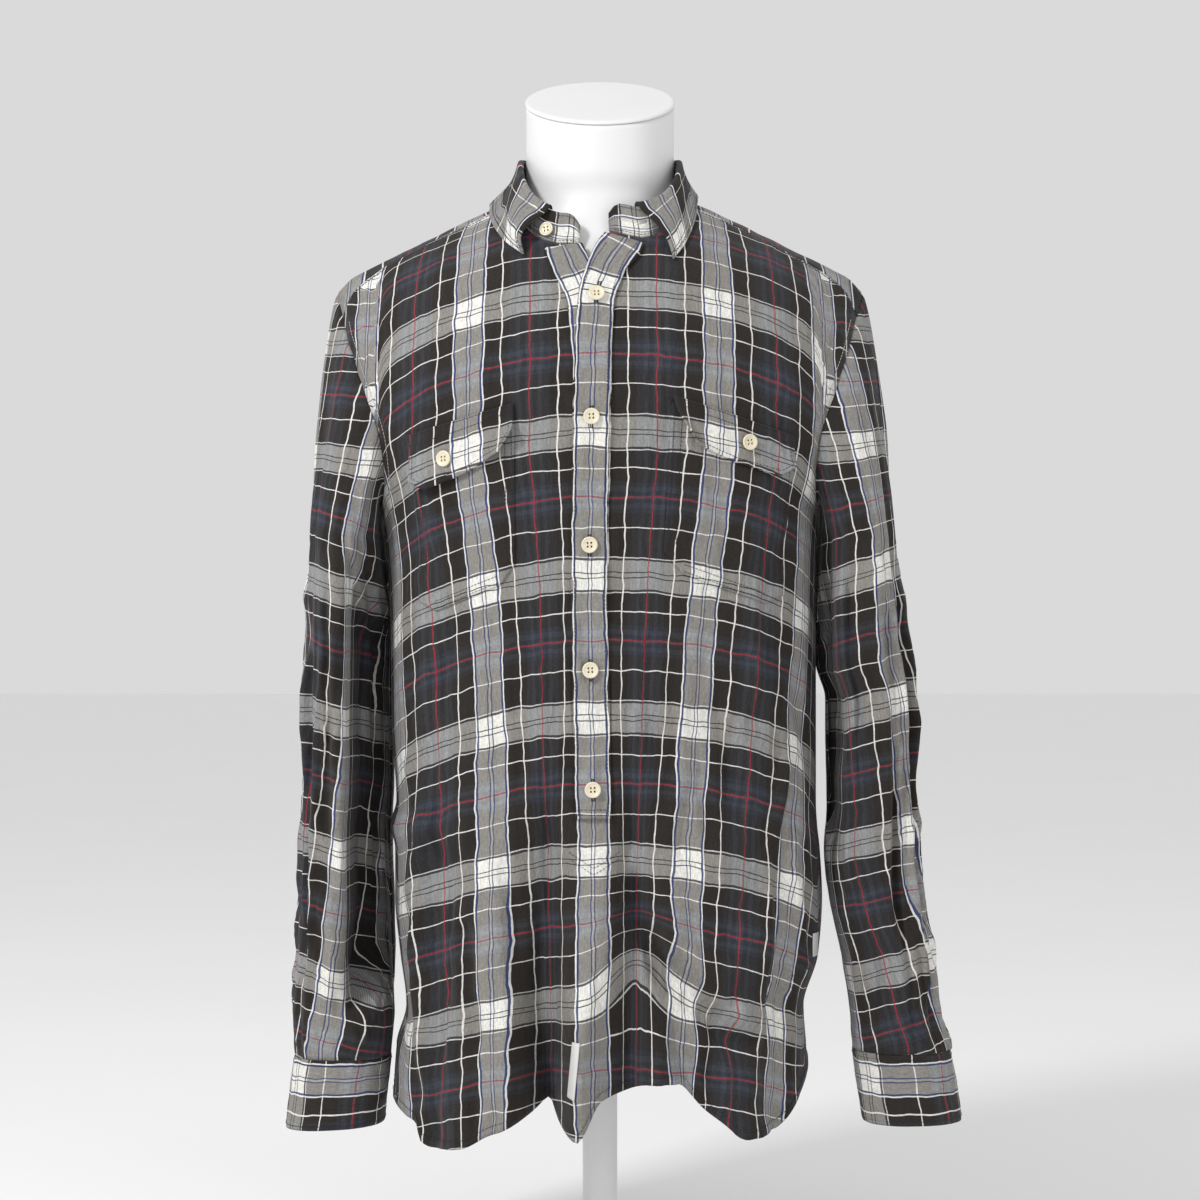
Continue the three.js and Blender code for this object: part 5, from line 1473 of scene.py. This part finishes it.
def stitch_row(points, normals, thread="thread_dark"):
    """Stitches along a line of points with their normals."""
    points, normals = np.asarray(points, float), unit(np.asarray(normals, float))
    run = run_of(points)
    for k in range(int(run[-1] // STITCH["pitch"])):
        start = k * STITCH["pitch"]
        ends = (start, start + STITCH["pitch"] * STITCH["share"])
        a, b = ([np.interp(e, run, points[:, i]) for i in range(3)] for e in ends)
        n = [np.interp(start, run, normals[:, i]) for i in range(3)]
        one_stitch(thread_meshes[thread], a, b, n)


# Placket edges, the two rows across its end and the double chevron under it
TOP_ROW = LAYER * SECOND + 0.55
EDGE_ROW = 11.6  # the edge rows' distance from the placket's middle
for side in (-1, 1):
    z = np.linspace(374, 818, 300)
    x = read(PLACKETS["top"], "x", z) + side * EDGE_ROW
    stitch_row(*on_body("front", x, z, TOP_ROW))
for z_row in (379, 375):
    x = np.linspace(-5 - 12.5, -5 + 12.5, 12)
    stitch_row(*on_body("front", x, z_row + 0 * x, TOP_ROW))
for drop in (0, 5):
    x = np.linspace(-24, 17, 24)
    stitch_row(*on_body("front", x, 334 - drop + np.abs(x + 5) * 0.62, 0.1))

# Yoke seam, both sides
for first, last in ((0.012, 0.225), (0.988, 0.775)):
    x, z = front_top(np.linspace(first, last, 120))
    stitch_row(*body_place("front", x, z - 2.2, 0.2))

# Hems
for side in ("front", "back"):
    u = np.linspace(0.01, 0.99, 700)
    x, z = panel_plan(side, u, 0 * u)
    stitch_row(*on_body(side, x, z + HEM_TURN - 0.4, 0.9))

# Armhole seams on the body side
for sign in (-1, 1):
    for side, thread in (("front", "thread_light"), ("back", "thread_dark")):
        z = np.linspace(622, SLEEVE_TOP[side] - 2, 120)
        x = sign * (read(ARMHOLE, side, z) - 4.5)
        stitch_row(*on_body(side, x, z, 0.25), thread)


# %% Pocket, flap, cuff and collar stitches
def row_on(shape, u, v, outward):
    """Stitches on a sheet's own surface, along shares u and v."""
    points, _ = shape(u + 0 * v, v + 0 * u)
    normal = np.array([outward(p) for p in points])
    stitch_row(points + unit(normal) * 0.1, normal)


for side in SIGN:
    bag, flap, cuff, lap = pocket_shape(side), flap_shape(side), cuff_shape(side), lap_shape(side)
    for inset in (0.025, 0.085):
        for edge in (inset, 1 - inset):
            row_on(bag, edge, np.linspace(0.93, 0.1, 90), forwards)
        row_on(bag, np.linspace(0.16, 0.84, 60), inset * 0.7, forwards)
    whole = np.linspace(0.02, 0.98, 70)
    for level in (0.97, 0.8, 0.1):
        row_on(flap, whole, level, forwards)
    for edge in (0.03, 0.97):
        row_on(flap, edge, lerp(0.1, 0.97, whole), forwards)
    for level in (0.06, 0.93):
        row_on(cuff, np.linspace(0, 1, 240), level, from_sleeve(side))
    for edge in (0.12, 0.88):
        row_on(lap, edge, np.linspace(0.03, 0.97, 50), from_sleeve(side))

row_on(leaf_shape, np.linspace(0.004, 0.996, 500), 0.085, out_of_neck)
for end in (0.01, 0.99):
    row_on(leaf_shape, end, np.linspace(0.72, 0.09, 30), out_of_neck)
ends = np.linspace(0.004, 0.12, 60)
for level in (0.1, 0.9):
    row_on(stand_shape, ends, level, out_of_neck)
    row_on(stand_shape, 1 - ends, level, out_of_neck)


# %% Button threads and buttonholes
def button_thread(place):
    """Two short bars of thread between the four holes."""
    at_z, normal = BUTTON["thick"] * 0.66, place.to_3x3() @ Vector((0, 0, 1))
    for sx in (-1, 1):
        for shift in (-0.22, 0.22):
            x = sx * BUTTON["hole_at"] + shift
            a, b = (place @ (Vector((x, y * BUTTON["thread_to"], at_z)) * MM) / MM for y in (-1, 1))
            one_stitch(thread_meshes["thread_cream"], a, b, normal, 0.34)


def buttonhole(points, normal, across, thread, wide):
    """Close stitches across a slit, with a longer bar at each end."""
    side = Vector(across).normalized()
    for k, (p, n) in enumerate(zip(points, normal)):
        reach, inner = (wide / 2 * 1.15, 0) if k in (0, len(points) - 1) else (wide / 2, 0.28)
        for sign in (-1, 1):
            ends = (Vector(p) + side * sign * inner, Vector(p) + side * sign * reach)
            one_stitch(thread_meshes[thread], *ends, n, 0.4)


for place in button_places.values():
    button_thread(place)
HOLE_LONG = 17
for node in PLACKET_BUTTONS:
    at = node_middle(node)
    z = np.arange(at.z - HOLE_LONG / 2, at.z + HOLE_LONG / 2, 0.5)
    row = on_body("front", read(PLACKETS["top"], "x", z), z, LAYER * SECOND + 0.6)
    buttonhole(*row, (1, 0, 0), "thread_dark", 2.6)
TAB_SHARE = float(np.interp(NECK_RUN[-1] - 15, NECK_RUN, NECK_STEPS))
share = np.linspace(TAB_SHARE - 0.022, TAB_SHARE + 0.022, 34)
points, _ = stand_shape(share, 0.5 + 0 * share)
normals = np.array([out_of_neck(p) for p in points])
buttonhole(points + unit(normals) * 0.25, normals, (0, 0, 1), "thread_light", 3.4)

for name, bm in thread_meshes.items():
    piece = in_scene(name, mesh_from(bm, name))
    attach(piece, "root")
    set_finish(piece, "flannel" if name != "thread_cream" else "button")
    shirt_pieces[name] = piece
    print(name, "faces:", len(piece.data.polygons))

# %% [markdown]
# ## Tapes
# Two plain bare tapes are caught in the sewing: one by the hem beside the placket's fold, and one
# in the right side seam. They are narrow woven ribbon that follows the cloth's folds.

# %% Tapes
TAPES = {
    "hem": [(-20.5, 203), (-14.5, 203), (-25, 160), (-19, 158)],
    "side": [(168, 276), (173, 276), (168, 257), (173, 257)],
}


def tape_shape(name):
    def shape(u, v):
        x, z = corner_mix(TAPES[name], u, v)
        points, _ = body_place("front", x, z, 1.1)
        return points, (u * 7, v * 44)

    return shape


for name in TAPES:
    sheet("tape_" + name, 8, 30, tape_shape(name), forwards, "tape", "label_" + name, thick=0.5)

# %% [markdown]
# ## Weave and plaid
# Flannel is a twill whose surface has been brushed. The plaid comes from coloured yarns: the same
# stripes run down the cloth and, in another order, across it, and where two colours cross the eye
# sees their mix. So the material is built as the cloth is: one ramp of stripes each way, mixed by
# the weave, with the single fine lines laid over them. The groups are built once and shared.

# %% Node helpers
def new_group(name, inputs, outputs):
    """A node group with named sockets; each entry is a name, a socket type and a default."""
    group = bpy.data.node_groups.new(name, "ShaderNodeTree")
    for label, kind, value in inputs:
        socket = group.interface.new_socket(name=label, in_out="INPUT", socket_type=kind)
        socket.default_value = value
    for label, kind in outputs:
        group.interface.new_socket(name=label, in_out="OUTPUT", socket_type=kind)
    return group, group.nodes.new("NodeGroupInput"), group.nodes.new("NodeGroupOutput")


class Wiring:
    """Short calls for adding and joining nodes of one tree."""

    def __init__(self, tree):
        self.tree = tree

    def node(self, kind, sockets=(), **settings):
        """A new node with its settings; each socket gets a value or another node's output."""
        made = self.tree.nodes.new(kind)
        for key, value in settings.items():
            setattr(made, key, value)
        for key, value in dict(sockets).items():
            self.feed(made.inputs[key], value)
        return made

    def feed(self, socket, value):
        if isinstance(value, bpy.types.NodeSocket):
            self.tree.links.new(value, socket)
        elif isinstance(value, tuple) and socket.type == "RGBA":
            socket.default_value = (*value, 1)
        else:
            socket.default_value = value

    def math(self, operation, *values):
        return self.node("ShaderNodeMath", enumerate(values), operation=operation).outputs[0]

    def plus(self, a, b):
        return self.math("ADD", a, b)

    def minus(self, a, b):
        return self.math("SUBTRACT", a, b)

    def times(self, a, b):
        return self.math("MULTIPLY", a, b)

    def mix(self, factor, a, b):
        sockets = {0: factor, 6: a, 7: b}
        return self.node("ShaderNodeMix", sockets, data_type="RGBA", blend_type="MIX").outputs[2]

    def noise(self, sockets, dimensions="3D"):
        return self.node("ShaderNodeTexNoise", sockets, noise_dimensions=dimensions)

    def twill(self, start):
        """Slanting lines of warp and weft, half over and half under."""
        slant = self.math("FRACT", self.times(self.plus(start.outputs["Across"], start.outputs["Up"]), 0.9))
        return self.math("ABSOLUTE", self.minus(slant, 0.5))

    def ramp(self, factor, stops):
        """A ramp of hard-edged colours."""
        made = self.node("ShaderNodeValToRGB", {0: factor})
        made.color_ramp.interpolation = "CONSTANT"
        elements = made.color_ramp.elements
        while len(elements) < len(stops):
            elements.new(0.5)
        for element, (place, colour) in zip(elements, stops):
            element.position = place
            element.color = (*colour, 1) if len(colour) == 3 else colour
        return made


# %% Stripes of the sett
BROWN = (0.0190, 0.0145, 0.0118)
NAVY = (0.0245, 0.0270, 0.0365)
SLATE = (0.0440, 0.0480, 0.0620)
CREAM = (0.72, 0.71, 0.665)
WHITE = (0.83, 0.82, 0.79)
BLUE = (0.020, 0.036, 0.125)
RED = (0.29, 0.022, 0.033)
BLACK = (0.008, 0.008, 0.010)
CLEAR = (0, 0, 0, 0)
WARP_REPEAT = 98.3
WEFT_REPEAT = 110.0
# One repeat from the middle of its light band on, in mm: where each ground colour starts
WARP_GROUND = [
    (0, CREAM), (13.2, BROWN), (33, NAVY), (39, SLATE), (42.5, NAVY), (46.2, SLATE),
    (52.1, NAVY), (55.8, SLATE), (59.3, NAVY), (65.3, BROWN), (85.1, CREAM),
]
WEFT_GROUND = [
    (0, CREAM), (13, BROWN), (48, NAVY), (51.5, SLATE), (55, NAVY), (58, SLATE),
    (61.4, NAVY), (64.4, SLATE), (68, NAVY), (71.5, BROWN), (97, CREAM),
]
# Single lines: middle from the light band's middle, width, colour
Line = namedtuple("Line", "at wide colour strength")
WARP_LINES = [
    Line(0, 0.9, WHITE, 0.15),
    Line(1.4, 1.0, BLUE, 0.85),
    Line(11.4, 1.5, BLUE, 0.92),
    Line(12.75, 1.1, WHITE, 0.7),
    Line(26.9, 1.15, WHITE, 0.78),
]
WEFT_LINES = [
    Line(1.9, 1.0, BLACK, 0.85),
    Line(12.2, 1.4, BLACK, 0.88),
    Line(13.6, 1.1, WHITE, 0.6),
]
# Lines that come once in a repeat, with their height above the light band
WARP_SINGLE = [Line(49.15, 1.2, RED, 0.75)]
WEFT_SINGLE = [Line(36.8, 1.15, WHITE, 0.75), Line(59.7, 1.3, RED, 0.7), Line(81.8, 1.15, WHITE, 0.78)]


def ground_stops(rows, repeat):
    """Stops of one repeat from 0 to 1: each row gives where its colour starts."""
    return [(at / repeat, colour) for at, colour in rows]


def line_stops(mirrored, single, repeat):
    """Stops for the lines: colour with its strength as alpha, clear between."""
    spans = []
    for line in mirrored + single:
        both = {line.at, (repeat - line.at) % repeat} if line in mirrored else {line.at}
        for middle in both:
            low, high = middle - line.wide / 2, middle + line.wide / 2
            colour = (*line.colour, line.strength)
            if low < 0:
                spans += [(0, high, colour), (repeat + low, repeat, colour)]
            else:
                spans.append((low, high, colour))
    stops = []
    at = 0
    for low, high, colour in sorted(spans):
        if low > at + 0.02:
            stops.append((at / repeat, CLEAR))
        stops.append((low / repeat, colour))
        at = high
    if at < repeat - 0.02:
        stops.append((at / repeat, CLEAR))
    return stops


print("warp stops:", len(WARP_GROUND), len(line_stops(WARP_LINES, WARP_SINGLE, WARP_REPEAT)))

# %% The plaid group
GAMMA = 2.2
plaid, start, end = new_group(
    "plaid",
    [("Across", "NodeSocketFloat", 0.0), ("Up", "NodeSocketFloat", 0.0), ("Wander", "NodeSocketFloat", 0.4)],
    [("Colour", "NodeSocketColor")],
)
w = Wiring(plaid)
place = w.node("ShaderNodeCombineXYZ", {0: start.outputs["Across"], 1: start.outputs["Up"]})
uneven = w.noise({"Scale": 0.04, "Detail": 2, "Vector": place.outputs[0]}, "2D")
parts = w.node("ShaderNodeSeparateColor", {0: uneven.outputs["Color"]})
grounds, fine_lines = [], []
for source, part, ground, lines, single, repeat in (
    ("Across", 0, WARP_GROUND, WARP_LINES, WARP_SINGLE, WARP_REPEAT),
    ("Up", 1, WEFT_GROUND, WEFT_LINES, WEFT_SINGLE, WEFT_REPEAT),
):
    sway = w.times(w.minus(parts.outputs[part], 0.5), start.outputs["Wander"])
    moved = w.plus(start.outputs[source], sway)
    turn = w.math("FRACT", w.plus(w.math("DIVIDE", moved, repeat), 40.0))
    seen = w.ramp(turn, ground_stops(ground, repeat)).outputs[0]
    grounds.append(w.node("ShaderNodeGamma", {"Gamma": 1 / GAMMA, "Color": seen}).outputs[0])
    fine_lines.append(w.ramp(turn, line_stops(lines, single, repeat)))

woven = w.mix(w.plus(w.times(w.twill(start), 0.5), 0.375), *grounds)
base = w.node("ShaderNodeGamma", {"Gamma": GAMMA, "Color": woven}).outputs[0]
for line in reversed(fine_lines):
    base = w.mix(line.outputs["Alpha"], base, line.outputs["Color"])
w.feed(end.inputs["Colour"], base)

# %% The nap group
nap, start, end = new_group(
    "brushed_nap",
    [
        ("Colour", "NodeSocketColor", (0.1, 0.1, 0.1, 1)),
        ("Across", "NodeSocketFloat", 0.0),
        ("Up", "NodeSocketFloat", 0.0),
        ("Fade", "NodeSocketFloat", 0.2),
    ],
    [("Colour", "NodeSocketColor"), ("Height", "NodeSocketFloat"), ("Roughness", "NodeSocketFloat")],
)
w = Wiring(nap)
place = w.node("ShaderNodeCombineXYZ", {0: start.outputs["Across"], 1: start.outputs["Up"]})


def cloth_noise(scale, detail, stretch=1.0):
    shape = w.node("ShaderNodeMapping", {"Scale": Vector((1, stretch, 1)), "Vector": place.outputs[0]})
    return w.noise({"Scale": scale, "Detail": detail, "Vector": shape.outputs[0]}, "2D").outputs[0]


fluff = cloth_noise(1.6, 4)
slubs = cloth_noise(0.9, 3, 0.12)
grain = cloth_noise(0.6, 3, 0.7)
crimp = cloth_noise(0.11, 3, 0.3)
long_crinkle = w.math("ABSOLUTE", w.minus(cloth_noise(0.05, 2, 0.28), 0.5))
worn = cloth_noise(0.03, 4)
washed = w.times(w.plus(w.times(fluff, 0.6), w.times(worn, 0.4)), start.outputs["Fade"])
paler = w.mix(washed, start.outputs["Colour"], (0.12, 0.12, 0.125))
shade = w.plus(w.plus(w.times(slubs, 0.5), w.times(grain, 0.55)), 0.475)
streaked = w.node("ShaderNodeVectorMath", {0: paler, "Scale": shade}, operation="SCALE")
w.feed(end.inputs["Colour"], streaked.outputs[0])
relief = w.plus(w.plus(w.times(w.twill(start), 0.1), w.times(fluff, 0.12)), w.times(crimp, 0.9))
w.feed(end.inputs["Height"], w.minus(relief, w.times(long_crinkle, 5.0)))
w.feed(end.inputs["Roughness"], w.plus(w.times(fluff, 0.16), 0.8))


# %% [markdown]
# ## Flannel
# The material joins the two groups. Sheen gives the pale bloom that brushed cotton has at grazing
# angles. The piece's own UV map is in metres of cloth, so it is turned to millimetres first.

# %% Flannel materials
def new_material(name):
    material = bpy.data.materials.new(name)
    material.use_nodes = True
    return material, Wiring(material.node_tree), material.node_tree.nodes["Principled BSDF"].inputs


def flannel(name, fade):
    material, w, shader = new_material(name)
    cloth = w.node("ShaderNodeUVMap", uv_map="cloth")
    sizes = w.node("ShaderNodeSeparateXYZ", {0: cloth.outputs[0]})
    place = {"Across": w.times(sizes.outputs[0], 1000), "Up": w.times(sizes.outputs[1], 1000)}
    stripes = w.node("ShaderNodeGroup", node_tree=plaid)
    brushed = w.node("ShaderNodeGroup", node_tree=nap)
    for group in (stripes, brushed):
        for key, output in place.items():
            w.feed(group.inputs[key], output)
    stripes.inputs["Wander"].default_value = 4.5
    brushed.inputs["Fade"].default_value = fade
    w.feed(brushed.inputs["Colour"], stripes.outputs["Colour"])
    relief = {"Distance": 0.0011, "Strength": 0.8, "Height": brushed.outputs["Height"]}
    w.feed(shader["Base Color"], brushed.outputs["Colour"])
    w.feed(shader["Roughness"], brushed.outputs["Roughness"])
    w.feed(shader["Normal"], w.node("ShaderNodeBump", relief).outputs[0])
    shader["Sheen Weight"].default_value = 0.08
    shader["Sheen Roughness"].default_value = 0.5
    shader["Specular IOR Level"].default_value = 0.18
    return material


# %% [markdown]
# ## Buttons, thread, tape and form
# Resin buttons have cloudy, faintly streaked cream colour and a soft shine. Thread is matt and
# ribbed. The form is a white moulding with a satin skin that is not quite even, and the stand is
# powder coated, so it has a very fine orange-peel surface.

# %% Other materials
def speckled(name, low, high, scale, rough, bump, coat=0.0):
    """A material with two close colours, an uneven shine and a fine relief."""
    material, w, shader = new_material(name)
    place = w.node("ShaderNodeTexCoord")
    cloud = w.noise({"Scale": scale, "Detail": 4, "Vector": place.outputs["Object"]}).outputs[0]
    relief = w.node("ShaderNodeBump", {"Distance": bump, "Strength": 0.5, "Height": cloud})
    w.feed(shader["Base Color"], w.mix(cloud, low, high))
    w.feed(shader["Roughness"], w.plus(w.times(cloud, 0.12), rough))
    w.feed(shader["Normal"], relief.outputs[0])
    shader["Coat Weight"].default_value = coat
    return material


THREAD = (3000, 0.75, 0.0001)  # scale, roughness and relief of every thread
MATERIALS = {
    "button": speckled("button", (0.68, 0.60, 0.43), (0.76, 0.70, 0.54), 260, 0.32, 0.00004, 0.2),
    "tape": speckled("tape", (0.58, 0.57, 0.55), (0.68, 0.67, 0.65), 1800, 0.75, 0.0002),
    "form": speckled("form", (0.73, 0.73, 0.74), (0.77, 0.77, 0.77), 14, 0.36, 0.0001, 0.1),
    "stand": speckled("stand", (0.78, 0.78, 0.78), (0.84, 0.84, 0.84), 900, 0.3, 0.00003),
    "thread_dark": speckled("thread_dark", (0.012, 0.012, 0.014), (0.03, 0.03, 0.032), *THREAD),
    "thread_light": speckled("thread_light", (0.35, 0.34, 0.31), (0.5, 0.48, 0.44), *THREAD),
    "thread_cream": speckled("thread_cream", (0.62, 0.54, 0.38), (0.7, 0.63, 0.47), *THREAD),
    "flannel": flannel("flannel", 0.07),
    "flannel_cross": flannel("flannel_cross", 0.09),
}
for name, piece in shirt_pieces.items():
    piece.data.materials.clear()
    piece.data.materials.append(MATERIALS[name if name.startswith("thread") else piece["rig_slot"]])
print("materials:", len(MATERIALS))

# %% [markdown]
# ## What each sheet was cut from
# A sheet's flat size is the size its cloth was cut to. These come from the pattern of a man's
# large shirt: the panels are as wide as half the chest, and the sleeves as wide as the armhole.

SHEETS = {
    "front_panel": ((0.56, 0.70), 0.345, "draped", "form_torso"),
    "back_panel": ((0.56, 0.64), 0.315, "draped", "form_torso"),
    "yoke_panel": ((0.46, 0.22), 0.066, "draped", "form_torso"),
    "sleeve_panel_left": ((0.44, 0.62), 0.19, "hung", "front"),
    "sleeve_panel_right": ((0.44, 0.62), 0.19, "hung", "front"),
    "cuff_band_left": ((0.245, 0.054), None, "hung", "sleeve_left"),
    "cuff_band_right": ((0.245, 0.054), None, "hung", "sleeve_right"),
    "placket_under_strip": ((0.028, 0.45), None, "laid", "front"),
    "placket_top_strip": ((0.028, 0.455), None, "laid", "front"),
    "pocket_bag_left": ((0.09, 0.13), None, "laid", "front"),
    "pocket_bag_right": ((0.1, 0.13), None, "laid", "front"),
    "pocket_flap_left": ((0.095, 0.04), None, "laid", "front"),
    "pocket_flap_right": ((0.1, 0.04), None, "laid", "front"),
    "collar_stand_band": ((0.42, 0.034), None, "laid", "front"),
    "collar_leaf": ((0.44, 0.06), None, "folded", "collar_stand"),
    "sleeve_lap_left": ((0.018, 0.13), None, "laid", "sleeve_left"),
    "sleeve_lap_right": ((0.018, 0.13), None, "laid", "sleeve_right"),
}
SEWN_ON = {"front_panel": [shirt_pieces["tape_hem"], shirt_pieces["tape_side"]]}
for name, (flat, area, held, carrier) in SHEETS.items():
    piece, extra = shirt_pieces[name], SEWN_ON.get(name, ())
    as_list(extra)
    share = sum(f.area for f in piece.data.polygons) / (area or flat[0] * flat[1])
    print(name, "share of its cut:", round(share, 2))

# %% [markdown]
# ## Room, light and camera
# The shirt stands on a pale floor in an even white studio. A large soft light stands to the left
# of the camera and a weaker one to the right, so the folds shade gently. The camera is level with
# the middle of the shirt and far enough away to keep the sleeves straight.

# %% Floor, light and camera
bm = bmesh.new()
bmesh.ops.create_grid(bm, x_segments=8, y_segments=8, size=14)
floor = in_scene("floor", mesh_from(bm, "floor"))
floor.data.materials.append(speckled("floor", (0.93, 0.93, 0.93), (0.96, 0.96, 0.96), 3, 0.8, 0.0002))

world = bpy.data.worlds.new("studio")
bpy.context.scene.world = world
world.use_nodes = True
world.node_tree.nodes["Background"].inputs[0].default_value = (1, 1, 1, 1)
world.node_tree.nodes["Background"].inputs[1].default_value = 0.7


def soft_light(name, place, target, size, watts):
    data = bpy.data.lights.new(name, "AREA")
    data.shape = "RECTANGLE"
    data.size, data.size_y = size
    data.energy = watts
    lamp = in_scene(name, data)
    lamp.location = place
    lamp.rotation_euler = (Vector(target) - Vector(place)).to_track_quat("-Z", "Y").to_euler()


soft_light("key", (-1.7, -1.8, 2.3), (0, 0, 0.55), (0.55, 0.55), 54)
soft_light("side", (1.9, -1.6, 1.3), (0, 0, 0.5), (1.0, 1.6), 7)

CAMERA = {"y": -2.3, "z": 0.54, "lens": 85.2, "sensor": 36}
camera_data = bpy.data.cameras.new("camera")
camera_data.lens = CAMERA["lens"]
camera_data.sensor_width = CAMERA["sensor"]
camera_data.clip_end = 60
camera = in_scene("camera", camera_data)
camera.location = (0, CAMERA["y"], CAMERA["z"])
camera.rotation_euler = (QUARTER, 0, 0)
bpy.context.scene.camera = camera
bpy.context.scene.view_settings.view_transform = "Standard"
